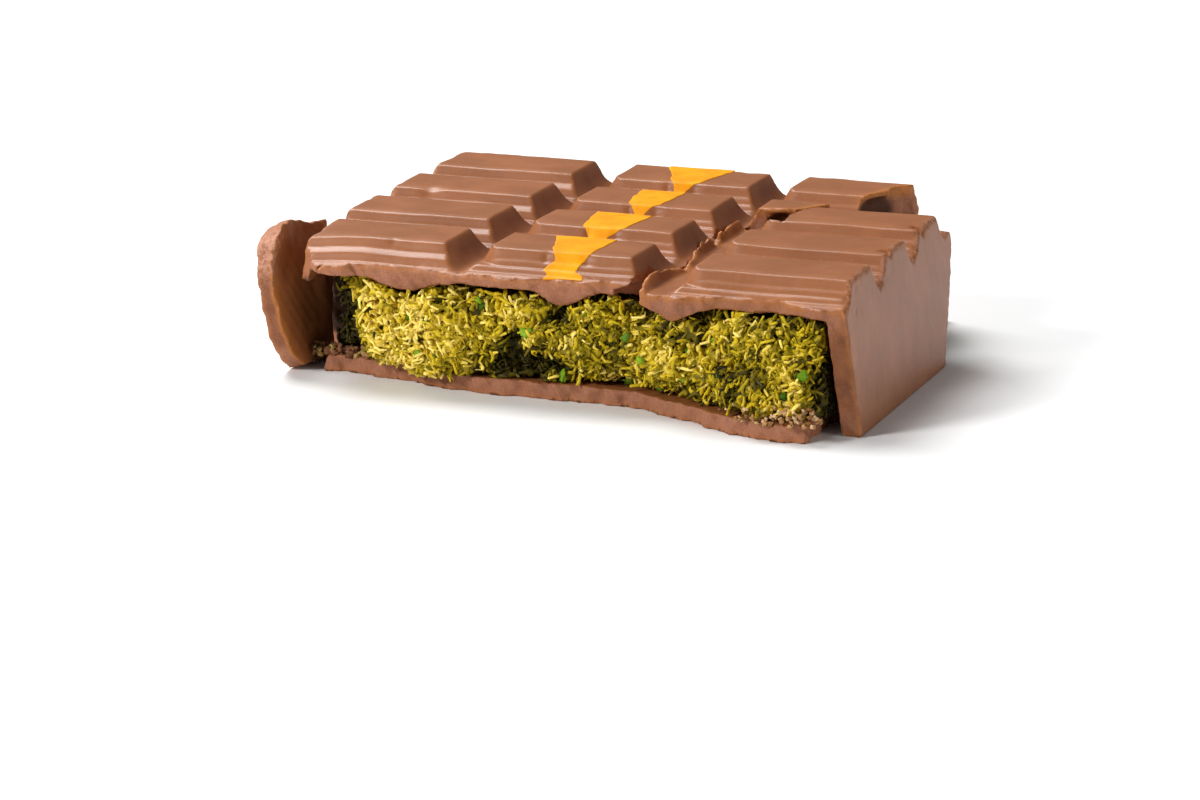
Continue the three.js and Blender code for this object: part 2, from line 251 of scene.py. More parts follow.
def turned_corner(x, y, left):
    """Extra depth where a block's front left corner is rounded in plan.

    It grows with the distance outside a circle that touches both edges, up to a limit.
    """
    steepness, limit, groove_half = 1.6, 2.2, 2.8
    across, inward = x - left, past_row_groove(y) - ROW_GROOVE_FRONT
    outside = np.hypot(np.clip(BLOCK_PLAN_ROUND - across, 0, None),
                       np.clip(BLOCK_PLAN_ROUND - inward, 0, None)) - BLOCK_PLAN_ROUND
    beside = (across > -groove_half) & (inward > -ROW_GROOVE_FRONT)
    return np.where(beside, np.clip(steepness * outside, 0, limit), 0)


def streaks(x, y, depth):
    """Long shallow waves along the bevels, under a tenth of a millimetre high."""
    return 0.06 * noise(0.3 * x, y, 0 * x, 1.4, 5) * smoothstep(0.3, 1.2, depth)


# The first block's left end lies lower, where the wall under it is gone
LEFT_END_SAG = 0.55


def top_height(x, y):
    """Height of the top face: the bar's height less the deeper of the row and column grooves."""
    depth = row_depth(y)
    for at, half in COLUMN_GROOVES:
        depth = joined(joined(depth, groove_depth(x - at, half)), turned_corner(x, y, at + half))
    sagged = LEFT_END_SAG * smoothstep(-27, -37, x) * smoothstep(-18, -27, y)
    return BAR_HEIGHT - depth + settled(x, y) + streaks(x, y, depth) - notches(x, y) - sagged


def corner_top_height(x, y):
    """Top of the corner piece: right of the column groove as moulded, left of it a lip.

    The lip rises towards its broken edge, and a ridge runs a little inside that edge.
    """
    at, half = COLUMN_GROOVES[1]
    at = at - 0.5
    valley = groove_depth(np.maximum(x - at, 0), half, power=2.6)
    edge_x, edge_y = zip(*CORNER_PLATE[:6])
    edge = np.interp(y, edge_y, edge_x)
    risen = 0.9 * smoothstep(at - 2.1, at - 3.4, x)
    ridge = 0.7 * hump(x - edge - 0.3, 0.55) * smoothstep(-29, -26, y)
    depth = joined(joined(row_depth(y), valley - (risen + ridge)), turned_corner(x, y, at + half))
    return BAR_HEIGHT - depth + settled(x, y) + streaks(x, y, depth)


def spread_at(z):
    """How far out a drafted wall stands at a height, from where it stands at the top."""
    return SLOPE * (BAR_HEIGHT - z)


def outside_walls(x, y, left, spread, radius):
    """Outside distance of the drafted walls at the left, the right and the back."""
    across = np.maximum(left - spread - x, x - RIGHT_EDGE - spread) * UPRIGHT
    return round_max(across, (y - BACK_EDGE - spread) * UPRIGHT, radius)


def sides_and_top(x, y, z, top):
    """Outside distances of the moulded bar's drafted walls and of its top face."""
    left = LEFT_EDGE + LEFT_DRAWN_IN * (1 - smoothstep(-17, -15, y))
    return outside_walls(x, y, left, spread_at(z), WALL_ROUND), (z - top(x, y)) * TOP_SLANT


# Chips knocked out of the moulded face, each as x, y, z, radius and depth
CHIPS = ((35.5, -26.6, 18.5, 0.8, 0.7), (35.7, 6.1, 19.1, 0.8, 0.7), (36.0, -9.6, 19.6, 0.7, 0.5),
         (-31.5, 3.8, 19.8, 1.3, 0.4), (36.4, -27.6, 15.6, 0.6, 0.4), (-24.0, -28.3, 19.6, 0.6, 0.3))


def moulded_body(x, y, z, top):
    """Outside distance of the moulded bar, with small chips, and nicks of 1.4 mm along its upper edge."""
    sides, above = sides_and_top(x, y, z, top)
    chips = sum(deep * np.exp(-((x - a) ** 2 + (y - b) ** 2 + (z - c) ** 2) / wide ** 2)
                for a, b, c, wide, deep in CHIPS)
    nicks = 0.2 * hump(sides - above, 0.7) * np.clip(noise(x, y, z, 1.4, 5), 0, 1)
    return round_max(round_max(sides, above, EDGE_ROUND), -z, FOOT_ROUND) + chips + nicks


def worn_edge(x, y, z, top):
    """How close a point is to the edge between the walls and the top face, from 0 to 1."""
    sides, above = sides_and_top(x, y, z, top)
    return hump(sides, 0.5) * hump(above, 0.6)


# Tongues that hang from the top plate's underside, each as x, drop and width
TONGUES = ((-21, 1.5, 4.5), (1, 1.9, 3.0), (13.4, 1.6, 3.2))


def ceiling(x, y):
    """Underside of the top plate, which hangs lower in three tongues at the break."""
    near_break = 1 - smoothstep(-26, -14, y)
    drop = sum(depth * hump(x - at, width) for at, depth, width in TONGUES)
    return CEILING_HEIGHT - near_break * drop + 0.18 * ragged(0.8 * x, 0.8 * y, 0.4)


def inner_space(x, y, z):
    """The hollow that holds the filling: inside the walls, above the base, under the top plate."""
    sides = outside_walls(x, y, LEFT_EDGE, spread_at(z) - WALL_THICKNESS, 1.5)
    return round_max(round_max(sides, z - ceiling(x, y), 0.8), BASE_THICKNESS - z, 0.6)


# The lines that the bar broke along

def rim_line(x):
    """Front edge of the top plate: a slow wave along the first row groove, set back at its left end."""
    wave = 0.5 * np.cos(2 * math.pi * (x + 21) / 27)
    ends = 3.2 * (1 - smoothstep(-37, -33, x))
    return FIRST_ROW_GROOVE + 0.2 + wave + ends


def base_line(x):
    """Front edge of the base, which comes forward to the right in two smooth steps."""
    return -24.3 - 5 * smoothstep(-34, -9, x) - 10.6 * smoothstep(7, 34, x)


# Outline of what the corner piece left open, from above, and the slant of its far end below the top
CRACK = [
    (10.9, -FAR - 5), (10.9, -30.4), (11.3, -24), (12.9, -18.5), (13.0, -15.5), (11.8, -7), (11.5, 8.9),
    (16.6, 7.6), (20.6, 8.0), (22.2, 10.5), (24.6, 15.2), (26.8, 19.5), (28.2, 23.5), (29.4, 28.2),
    (30.7, 29.2), (31.4, 34), (31.4, FAR + 5), (FAR + 5, FAR + 5), (FAR + 5, -FAR - 5),
]
BROKEN_END_SLOPE = 0.25
BROKEN_END_REACH = 0.6
# Hollows under the top face at the crack, each as x, y, z, their three widths and the depth
CRACK_HOLLOWS = ((28.9, 22.2, 17.6, 2.6, 3.0, 1.45, 5.2), (18.4, 8.6, 17.0, 1.7, 1.4, 2.2, 2.4))


def crack_hollow(x, y, z):
    """How much deeper the crack's hollows are than its outline: bells, cut off 0.5 mm under the top."""
    roof = smoothstep(19.6, 19.0, z)
    return sum(deep * hump(x - a, wide) * hump(y - b, long) * hump(z - c, tall) * roof
               for a, b, c, wide, long, tall, deep in CRACK_HOLLOWS)


def corner_opening(x, y, z, relief):
    """What the corner piece left open: the crack's outline, upright.

    It slants out at its far end, and under the top face at its near end a chip is missing.
    """
    slant = (smoothstep(14, 22, y) * smoothstep(20, 26, x)
             * np.clip(BROKEN_END_SLOPE * (BAR_HEIGHT - z), 0, BROKEN_END_REACH))
    chipped = 2.3 * (1 - smoothstep(-29, -25, y)) * (1 - smoothstep(16.0, 17.2, z))
    plan = outline_distance(x - slant + chipped - 0.35 * ragged(y, z, 2.2),
                            y - 0.35 * ragged(x, z, 5.1), CRACK)
    return np.maximum(plan + relief - crack_hollow(x, y, z), BASE_THICKNESS - z)


# The pale scale that has lifted at the rim's left end: the middle and the top of its arch
SCALE_MIDDLE = -30.8
SCALE_TOP = 17.4


def lifted_scale(x, z):
    """Relief of the scale on the rim: 0.4 mm proud below a parabola, which is a crack 0.6 mm deep."""
    below_arch = SCALE_TOP - 0.24 * (x - SCALE_MIDDLE) ** 2 - z
    beside_arch = smoothstep(3.0, 2.3, np.abs(x - SCALE_MIDDLE))
    return beside_arch * (0.4 * smoothstep(0, 0.5, below_arch) - 0.6 * hump(below_arch, 0.24))


def shell_field(x, y, z):
    """Chocolate shell: the moulded body less its hollow and everything that broke away.

    That is what lay in front of the top plate's rim and of the base, the corner piece, the base's
    right edge, and the left wall with the flake, high up and at its foot.
    """
    relief = fracture_relief(x, y, z)
    shell = cut_away(moulded_body(x, y, z, top_height), inner_space(x, y, z), LINING_ROUND)
    before_rim = np.maximum(y - 0.45 * ragged(x, z, 2.8) - rim_line(x) + relief + lifted_scale(x, z),
                            BASE_THICKNESS + 0.4 - z)
    above_base = z - BASE_THICKNESS - 1
    before_base = np.maximum(y - 0.6 * ragged(x, z, 5.1) - base_line(x) + relief, above_base)
    base_edge = 37.9 - 0.125 * np.clip(y - 6, 0, None) + 0.4 * ragged(y, z, 0.6)
    beside_base = np.maximum(base_edge - x + relief, above_base)
    torn = 0.4 * ragged(y, z, 2.9)
    wall_end = y + 13.1 + 1.6 * smoothstep(7, 11, z) - 0.35 * ragged(x, z, 4.6)
    wall_high = np.maximum(np.maximum(x + 33.6 - torn, wall_end) + relief,
                           np.maximum(BASE_THICKNESS + 0.2 - z, z - 13.4))
    wall_foot = np.maximum(np.maximum(x + 35.3 - torn, wall_end) + relief, z - BASE_THICKNESS - 0.5)
    for gone in (before_rim, before_base, corner_opening(x, y, z, relief), beside_base, wall_high, wall_foot):
        shell = cut_away(shell, gone, BREAK_ROUND)
    return shell


# Outline of the corner piece before it slid, from above, and that of its wall's rear edge, as y and z
CORNER_PLATE = [
    (8.4, -FAR - 5), (8.5, -24), (9.8, -17), (9.8, -12.5), (8.7, -5), (9.0, 10.9), (13.2, 9.5), (14.2, 5.2),
    (17.4, 4.4), (17.8, 10.6), (20.9, 16.4), (30, 17.0), (FAR + 5, 17.0), (FAR + 5, -FAR - 5),
]
CORNER_WALL_REAR = [(-FAR, -1), (8.4, -1), (9.0, 0), (20.2, 16.6), (17.6, 16.9), (17.6, 22), (-FAR, 22)]


def corner_field(x, y, z):
    """Corner piece, before it slid: three blocks with their side wall, whose rear edge is slanted."""
    smooth_lip = smoothstep(15.5, 17.5, z) * smoothstep(-30, -28, y)
    relief = fracture_relief(x, y, z) * (1 - 0.7 * smooth_lip)
    body = cut_away(moulded_body(x, y, z, corner_top_height), inner_space(x, y, z), LINING_ROUND)
    plate = outline_distance(x - 0.3 * ragged(y, z, 4.6), y - 0.3 * ragged(x, z, 6.3), CORNER_PLATE)
    plate = np.maximum(plate, CEILING_HEIGHT - 4 - z)
    wall = np.maximum(outline_distance(y, z, CORNER_WALL_REAR), 30 - x)
    body = round_max(body, np.minimum(plate, wall) - relief, BREAK_ROUND)
    inner_face = RIGHT_EDGE + spread_at(z) - WALL_THICKNESS
    body = cut_away(body, np.maximum(x - inner_face, z - BASE_THICKNESS - 1), BREAK_ROUND)
    front = -31.2 + 0.7 * np.sin(0.33 * x) - 0.8 * smoothstep(30, 38, x)
    return round_max(body, front + 0.4 * ragged(x, z, 6.9) - y - relief, BREAK_ROUND)


def place_corner(points):
    """Turns the corner piece about its pivot and slides it away from the bar."""
    c, s = math.cos(CORNER_TURN), math.sin(CORNER_TURN)
    x, y = points[:, 0] - CORNER_PIVOT[0], points[:, 1] - CORNER_PIVOT[1]
    return np.stack([c * x - s * y + CORNER_PIVOT[0] + CORNER_SHIFT[0],
                     s * x + c * y + CORNER_PIVOT[1] + CORNER_SHIFT[1], points[:, 2]], 1)


def before_corner_slid(x, y):
    """Where a point lay in the corner piece's own frame: the slide and the turn undone."""
    c, s = math.cos(CORNER_TURN), math.sin(CORNER_TURN)
    dx = x - CORNER_PIVOT[0] - CORNER_SHIFT[0]
    dy = y - CORNER_PIVOT[1] - CORNER_SHIFT[1]
    return c * dx + s * dy + CORNER_PIVOT[0], -s * dx + c * dy + CORNER_PIVOT[1]


def flake_faces(x, y, z):
    """Outside distances of the flake's two drafted faces, which lie further apart at its top edge.

    Towards its rear they spread to a root, which fills the wedge between the flake and the wall.
    """
    shift = WALL_DRAFT * z / BAR_HEIGHT
    crown = smoothstep(14, 18.5, z) * (1 - smoothstep(-12, -5, y))
    root = np.clip(0.10 * z - 0.2, 0, 1.1) * smoothstep(-4, -1.5, y) * (1 - smoothstep(13.5, 16, z))
    inner = x - shift - FLAKE_THICKNESS - 0.9 * crown - root - 0.12 * ragged(y, z, 0.9)
    return shift - x, inner


def flake_front(z):
    """Front of the flake: half an ellipse that bulges forward."""
    return -8 - 6.8 * np.sqrt(np.clip(1 - ((z - 11) / 11.5) ** 2, 0, None))


def flake_field(x, y, z):
    """Flake of the left wall: a panel between two faces with a bulging broken front."""
    relief = fracture_relief(x, y, z)
    outer, inner = flake_faces(x, y, z)
    front = flake_front(z) + 2.6 * smoothstep(17, 20, z) + 0.3 * ragged(z, x, 1.4)
    rear = -0.5 + 3.6 * smoothstep(0.15, 0.8, z / BAR_HEIGHT) + 0.25 * ragged(z, x, 3.3)
    dropped = 0.5 + 1.9 * smoothstep(-9, 3, y) + 0.25 * ragged(y, 1, 2.2)
    above = z - BAR_HEIGHT + dropped
    panel = round_max(round_max(outer, above, 1.6), inner, 0.5)
    broken = round_max(front - y, y - rear, 0.2) + relief
    return round_max(round_max(panel, broken, BREAK_ROUND), -z, 0.2)


def place_flake(points):
    """Leans the flake outward about its foot, swings it about the hinge and sets it in place."""
    c, s = math.cos(FLAKE_LEAN), math.sin(FLAKE_LEAN)
    x, y, z = points.T
    x, z = c * x - s * z, s * x + c * z
    c, s = math.cos(FLAKE_SWING), math.sin(FLAKE_SWING)
    return np.stack([c * x + s * y + FLAKE_HINGE[0], -s * x + c * y + FLAKE_HINGE[1], z], 1)


# The filling

# Hollows in the filling's front, each as x, z, width, height and depth, and mounds, as x, z, width and depth
HOLLOWS = ((-3.0, 4.8, 5.6, 2.0, 5.8), (-6.5, 8.6, 2.2, 1.7, 3.2), (0.5, 11.2, 2.8, 1.6, 3.4),
           (13.0, 12.8, 2.4, 1.5, 3.2), (-32.4, 8.2, 3.4, 3.6, 6.0), (-29.0, 5.6, 1.8, 1.6, 3.8),
           (34.5, 13.2, 1.8, 1.5, 2.0), (-14.4, 13.6, 3.0, 1.1, 2.0), (22.5, 13.6, 3.0, 1.1, 1.6),
           (37.2, 6.0, 1.3, 3.6, 3.0), (9.0, 7.6, 1.3, 1.2, 1.6), (20.5, 5.0, 1.8, 1.1, 1.3),
           (27.5, 9.0, 1.2, 1.0, 1.2), (-18.0, 6.4, 1.4, 1.2, 1.4))
MOUNDS = ((-20.5, 10.0, 5.0, 1.9), (-27.0, 4.6, 2.4, 0.9), (12.5, 6.5, 3.6, 1.2), (19.5, 7.0, 3.0, 1.0),
          (4.6, 12.0, 1.8, 0.8), (31.0, 7.5, 4.0, 0.6), (-12.0, 12.0, 2.4, 0.7))


def face_at_large(x, z):
    """Where the filling broke: further forward to the right, with its foot set back on the base's ledge."""
    lean = (1 - smoothstep(2, 11, z)) * 4.6 * smoothstep(12, 34, x)
    ledge = 6.2 * hump(x - 12, 9) + 6 * (1 - smoothstep(-32, -17, x))
    foot = ledge * (1 - smoothstep(2.6, 6.5, z))
    line = -28.6 - 2.6 * smoothstep(-33, -8, x) - 3.4 * smoothstep(10, 30, x)
    return line - lean + foot + 0.8 * (1 - hump(z - 8, 7))


def break_face(x, z):
    """Front of the filling: the face at large, with hollows and mounds."""
    holes = sum(deep * hump(x - at, wide) * hump(z - high, tall) for at, high, wide, tall, deep in HOLLOWS)
    heaps = sum(out * hump(x - at, wide) * hump(z - high, wide) for at, high, wide, out in MOUNDS)
    return face_at_large(x, z) + holes - heaps


def right_face(y, z):
    """Right side of the filling, which stays behind as the corner piece slides away."""
    nominal = RIGHT_EDGE + spread_at(z) - WALL_THICKNESS - GAP
    pulled = 39.5 - 0.09 * z - 1.2 * smoothstep(-34, 8, y)
    return mix(pulled, nominal, smoothstep(6, 20, y))


def left_face(y, z):
    """Left side of the filling, crumbled away a little where the wall is gone."""
    nominal = LEFT_EDGE - spread_at(z) + WALL_THICKNESS + GAP
    return nominal + (2.4 + 0.5 * ragged(y, z, 2.6)) * (1 - smoothstep(-20, -12, y))


def filling_roof(x, y):
    """Top of the filling: under the top plate, and under the corner piece where it lies."""
    corner_x, corner_y = before_corner_slid(x, y)
    return np.minimum(ceiling(x, y), ceiling(corner_x, corner_y)) - GAP - 0.25


def filling_field(x, y, z):
    """Core of the filling, a little inside its shreds, with lumps of 3.4 and 1.5 mm."""
    lumps = 1.3 * noise(x, y, z, 3.4, 4) + 0.6 * noise(x, y, z, 1.5, 5)
    back = y - BACK_EDGE - spread_at(z) + WALL_THICKNESS + GAP
    front = break_face(x, z) - y
    sides = np.maximum(left_face(y, z) - x, x - right_face(y, z))
    open_sides = round_max(front, sides, 2.0) + 0.9 + lumps
    level = np.maximum(z - filling_roof(x, y) + 0.25 + 0.35 * lumps, BASE_THICKNESS + GAP - z)
    return round_max(np.maximum(open_sides, back), level, 0.6)


# Surfaces from fields

CORNERS = np.array([(i, j, k) for i in (0, 1) for j in (0, 1) for k in (0, 1)], np.float32)
CELL_EDGES = [(a, b) for a in range(8) for b in range(a + 1, 8)
              if np.abs(CORNERS[a] - CORNERS[b]).sum() == 1]


def crossed_faces(inside, cell, axis):
    """A four-sided face round each grid edge along one axis that passes through the surface."""
    other, last = (axis + 1) % 3, (axis + 2) % 3
    turned = np.moveaxis(inside, (axis, other, last), (0, 1, 2))[:, 1:-1, 1:-1]
    cells = np.moveaxis(cell, (axis, other, last), (0, 1, 2))
    i, j, k = np.nonzero(turned[:-1] != turned[1:])
    outward = turned[i, j, k]
    ring = np.stack([cells[i, j, k], cells[i, j + 1, k], cells[i, j + 1, k + 1], cells[i, j, k + 1]], 1)
    return np.where(outward[:, None], ring, ring[:, ::-1])


def gradient(field, points, reach):
    """Direction in which a field grows, from its values a little to either side on each axis."""
    slopes = []
    for axis in range(3):
        step = np.zeros(3, np.float32)
        step[axis] = reach
        slopes.append((field(*(points + step).T) - field(*(points - step).T)) / (2 * reach))
    return np.stack(slopes, 1)


def settle(field, points, limit):
    """Moves points onto the surface: by the field's value over its slope, down the slope."""
    for _ in range(2):
        slope = gradient(field, points, 0.04)
        value = field(*points.T)
        move = slope * (value / np.maximum((slope ** 2).sum(1), 0.05))[:, None]
        length = np.linalg.norm(move, axis=1, keepdims=True)
        points = points - move * np.minimum(1, limit / np.maximum(length, 1e-6))
    return points


def surface_of(field, low, high, step):
    """Points and faces of a field's zero surface, drawn on a grid and then settled on it."""
    axes = [np.arange(a - 2 * step, b + 2 * step, step, dtype=np.float32) for a, b in zip(low, high)]
    points, quads = drawn(field(*np.meshgrid(*axes, indexing="ij")), axes)
    return settle(field, points, 0.6 * step), quads


def drawn(value, axes):
    """Points and faces of the zero surface of a grid of values.

    A grid cell that the surface passes through gets one point, at the mean of the places where
    it crosses the cell's edges, and a grid edge that crosses gets a face between its four cells.
    """
    inside = value < 0
    count = sum(inside[i:inside.shape[0] - 1 + i, j:inside.shape[1] - 1 + j, k:inside.shape[2] - 1 + k]
                .astype(np.int8) for i in (0, 1) for j in (0, 1) for k in (0, 1))
    active = (count > 0) & (count < 8)
    index = np.argwhere(active)
    cell = np.full(active.shape, -1, np.int32)
    cell[active] = np.arange(len(index))
    ends = [value[tuple((index + corner.astype(int)).T)] for corner in CORNERS]
    total = np.zeros((len(index), 3), np.float32)
    hits = np.zeros((len(index), 1), np.float32)
    for a, b in CELL_EDGES:
        crossed = ((ends[a] < 0) != (ends[b] < 0))[:, None]
        share = (ends[a] / np.where(crossed[:, 0], ends[a] - ends[b], 1))[:, None]
        total += np.where(crossed, CORNERS[a] + share * (CORNERS[b] - CORNERS[a]), 0)
        hits += crossed
    origin = np.array([axis[0] for axis in axes], np.float32)
    step = axes[0][1] - axes[0][0]
    points = origin + step * (index + total / np.maximum(hits, 1))
    quads = np.concatenate([crossed_faces(inside, cell, axis) for axis in range(3)])
    return points.astype(np.float32), quads


def halves(quads):
    """Each four-sided face as two triangles."""
    return np.concatenate([quads[:, [0, 1, 2]], quads[:, [0, 2, 3]]])


def make_piece(name, points, faces):
    """A smooth mesh object at the origin, from points in millimetres and triangles."""
    mesh = bpy.data.meshes.new(name)
    mesh.vertices.add(len(points))
    mesh.vertices.foreach_set("co", (points * MM).astype(np.float32).ravel())
    mesh.loops.add(faces.size)
    mesh.loops.foreach_set("vertex_index", faces.astype(np.int32).ravel())
    mesh.polygons.add(len(faces))
    mesh.polygons.foreach_set("loop_start", np.arange(0, faces.size, 3, dtype=np.int32))
    mesh.update(calc_edges=True)
    mesh.validate()
    mesh.shade_smooth()
    piece = bpy.data.objects.new(name, mesh)
    bpy.context.scene.collection.objects.link(piece)
    return piece


def points_of(piece):
    """A piece's points in millimetres."""
    points = np.empty(len(piece.data.vertices) * 3, np.float32)
    piece.data.vertices.foreach_get("co", points)
    return points.reshape(-1, 3) / MM


def set_points(piece, points):
    """Moves a piece's points, given in millimetres."""
    piece.data.vertices.foreach_set("co", (points * MM).astype(np.float32).ravel())
    piece.data.update()


def store(piece, name, values):
    """Keeps one number for each point, for the material to read."""
    layer = piece.data.attributes.new(name, "FLOAT", "POINT")
    layer.data.foreach_set("value", values.astype(np.float32))


def thin_out(piece, most):
    """Merges the triangles of flat places until at most a given number is left."""
    count = len(piece.data.polygons)
    if count <= most:
        return
    thinner = piece.modifiers.new("thinner", "DECIMATE")
    thinner.ratio = most / count
    shown = piece.evaluated_get(bpy.context.evaluated_depsgraph_get())
    mesh = bpy.data.meshes.new_from_object(shown)
    piece.modifiers.clear()
    piece.data = mesh
    mesh.shade_smooth()


def chocolate_piece(name, field, moulded, marks, low, high, step, most, place=None):
    """A chocolate piece drawn from its field, with four marks on its points for the material to read.

    "broken" is 0 on moulded faces and 1 a little way from them. "rim" is highest on a broken face
    right beside the moulded skin. The function marks adds to the rim, and gives "worn", for
    scuffed edges, and "deep", for painted shade in hollows and gaps, which never reaches the moulded outside.
    """
    points, quads = surface_of(field, low, high, step)
    piece = make_piece(name, points, halves(quads))
    thin_out(piece, most)
    points = settle(field, points_of(piece), 0.1)
    set_points(piece, points)
    skin = np.abs(moulded(*points.T))
    lining = np.abs(inner_space(*points.T)) if moulded is not flake_skin else skin
    broken = smoothstep(0.05, 0.2, np.minimum(skin, lining))
    lip, worn, deep = marks(*points.T)
    store(piece, "broken", broken)
    store(piece, "rim", np.minimum(broken * hump(skin, 0.45) + lip, 1))
    store(piece, "worn", worn)
    store(piece, "deep", deep * smoothstep(0.05, 0.2, skin))
    normals = gradient(field, points, 0.12)
    normals /= np.maximum(np.linalg.norm(normals, axis=1, keepdims=True), 1e-6)
    if place is not None:
        set_points(piece, place(points))
        normals = place(normals) - place(np.zeros((1, 3), np.float32))
    piece.data.normals_split_custom_set_from_vertices(normals.tolist())
    return piece


def shell_skin(x, y, z):
    """The moulded outside of the bar."""
    return moulded_body(x, y, z, top_height)


def corner_skin(x, y, z):
    """The moulded outside of the corner piece."""
    return moulded_body(x, y, z, corner_top_height)


def flake_skin(x, y, z):
    """The two moulded faces of the flake."""
    outer, inner = flake_faces(x, y, z)
    return np.minimum(np.abs(outer), np.abs(inner))


def shell_marks(x, y, z):
    """Marks of the shell: a warm lip round the rear end of the crack, partly scraped and partly painted light
    on its thin edge, and painted shade.

    The hollows of the crack and the end of the left wall behind the flake are darkened as painted shade.
    """
    lip = hump(outline_distance(x, y, CRACK), 0.8) * smoothstep(6, 9, y) * smoothstep(18, 19, z)
    rim = hump(y - rim_line(x), 0.6) * hump(z - top_height(x, y), 0.5)
    worn_rim = rim * smoothstep(-0.3, 0.4, noise(x, y, z, 1.8, 4))
    left_gap = (smoothstep(-32.5, -34, x) * smoothstep(-9, -12, y)
                * smoothstep(14.5, 13, z) * smoothstep(2.2, 2.9, z))
    # Painted shade: darkens the crack's hollows and the wall's end in the gap behind the flake
    painted_shade = np.maximum(smoothstep(0.3, 1.0, crack_hollow(x, y, z)), left_gap)
    return lip, np.maximum(worn_edge(x, y, z, top_height), worn_rim), painted_shade


def corner_marks(x, y, z):
    """Marks of the corner piece: a warm lip along its left edge and over its broken front, partly scraped and
    partly painted light where a thin edge catches and passes light, and painted shade on that front, more of
    it lower down.
    """
    lip = hump(outline_distance(x, y, CORNER_PLATE), 1.0) * smoothstep(12.5, 11.5, x) * smoothstep(14, 15, z)
    front = smoothstep(-29, -30.5, y)
    lip = lip + front * (0.15 + 0.45 * noise(x, y, z, 1.3, 3)) * smoothstep(18.5, 17.5, z)
    # Painted shade on the broken front, stronger below 14 mm
    painted_shade = front * smoothstep(18.5, 17, z) * (0.2 + 0.2 * smoothstep(14, 10, z))
    return np.clip(lip, 0, 1), worn_edge(x, y, z, corner_top_height), painted_shade


def flake_marks(x, y, z):
    """Marks of the flake: a golden front edge inside, partly cream left on it and partly painted light
    glowing through the thin edge, and a worn front towards its top.
    """
    behind_front = y - flake_front(z)
    golden = 0.8 * (hump(flake_faces(x, y, z)[1], 0.35) * hump(behind_front - 0.2, 0.8))
    return golden, 1.2 * hump(behind_front, 1.8) * smoothstep(11, 16, z), 0 * x


# Shreds and crumbs

SHRED_RINGS, SHRED_SIDES = 4, 6
CRUMB_RINGS, CRUMB_SIDES = 5, 7
CRUMB_ROUGHNESS = 0.55
ROOM_MARGIN = 0.06              # shreds stay this far below the chocolate over them
CORNER_COVER = (8.5, -31, 17)   # where the corner piece covers them: its left, front and rear edge
AHEAD, OVERHEAD = 1.3, 4        # where the bed looks for chocolate before and over it
BEHIND_FRONT = -16              # from here back, chocolate over the bed counts too


def closed_rings(rings, sides):
    """Triangles of a closed form: rings of points one after another, then a point for each end."""
    faces = []
    for i in range(rings - 1):
        for k in range(sides):
            a, b = i * sides + k, i * sides + (k + 1) % sides
            faces += [(a, b, b + sides), (a, b + sides, a + sides)]
    first, last, start = rings * sides, rings * sides + 1, (rings - 1) * sides
    for k in range(sides):
        faces.append((first, (k + 1) % sides, k))
        faces.append((last, start + k, start + (k + 1) % sides))
    return np.array(faces)


def as_one(points, faces):
    """Many forms as one mesh: all their points, all their triangles, and how many points each has."""
    count, each = points.shape[:2]
    faces = faces[None] + (np.arange(count) * each)[:, None, None]
    return points.reshape(-1, 3), faces.reshape(-1, 3), each


def bent_lines(centre, along, bend, length):
    """Points along each shred: along its direction by t and along its bend by 1/2 - t^2, t from -1 to 1."""
    t = np.linspace(-1, 1, SHRED_RINGS)[None, :, None]
    return (centre[:, None] + along[:, None] * t * length[:, None, None] / 2
            + bend[:, None] * (0.5 - t * t))


def threads(centre, along, bend, length, radius, rng):
    """Short curved threads, all at once.

    Six points stand round each of four places along a thread, each a little nearer or further at
    random, and one more point closes each end.
    """
    middle = bent_lines(centre, along, bend, length)
    aside = np.cross(along, rng.normal(size=(len(centre), 3)))
    aside /= np.linalg.norm(aside, axis=1, keepdims=True)
    above = np.cross(along, aside)
    turn = np.arange(SHRED_SIDES) * 2 * math.pi / SHRED_SIDES
    taper = np.array([0.8, 1, 1, 0.8])[None, :, None]
    size = radius[:, None, None] * taper * rng.uniform(0.8, 1.2, (len(centre), SHRED_RINGS, SHRED_SIDES))
    around = (aside[:, None, None] * np.cos(turn)[None, None, :, None]
              + above[:, None, None] * np.sin(turn)[None, None, :, None] * 0.8)
    rim = middle[:, :, None] + around * size[..., None]
    tips = middle[:, [0, -1]] + np.stack([-along, along], 1) * radius[:, None, None] * 0.55
    points = np.concatenate([rim.reshape(len(centre), -1, 3), tips], 1)
    return as_one(points, closed_rings(SHRED_RINGS, SHRED_SIDES))


def grains(centre, size, rng):
    """Rough crumbs, all at once: balls of five rings of seven points, each at its own random distance."""
    height = np.linspace(-1, 1, CRUMB_RINGS + 2)[1:-1]
    reach = np.sin(np.arccos(-height))[:, None]
    turn = np.arange(CRUMB_SIDES) * 2 * math.pi / CRUMB_SIDES
    ball = np.stack([reach * np.cos(turn), reach * np.sin(turn), height[:, None] * np.ones(CRUMB_SIDES)], -1)
    ball = np.concatenate([ball.reshape(-1, 3), [(0, 0, -1), (0, 0, 1)]])
    distance = size[:, None] * rng.uniform(1 - CRUMB_ROUGHNESS, 1 + CRUMB_ROUGHNESS, (len(centre), len(ball)))
    scale = rng.uniform(0.6, 1.3, (len(centre), 1, 3))
    spin = np.linalg.qr(rng.normal(size=(len(centre), 3, 3)))[0]
    spin *= np.sign(np.linalg.det(spin))[:, None, None]
    points = np.einsum("nij,nkj->nki", spin, ball[None] * scale) * distance[..., None] + centre[:, None]
    return as_one(points, closed_rings(CRUMB_RINGS, CRUMB_SIDES))


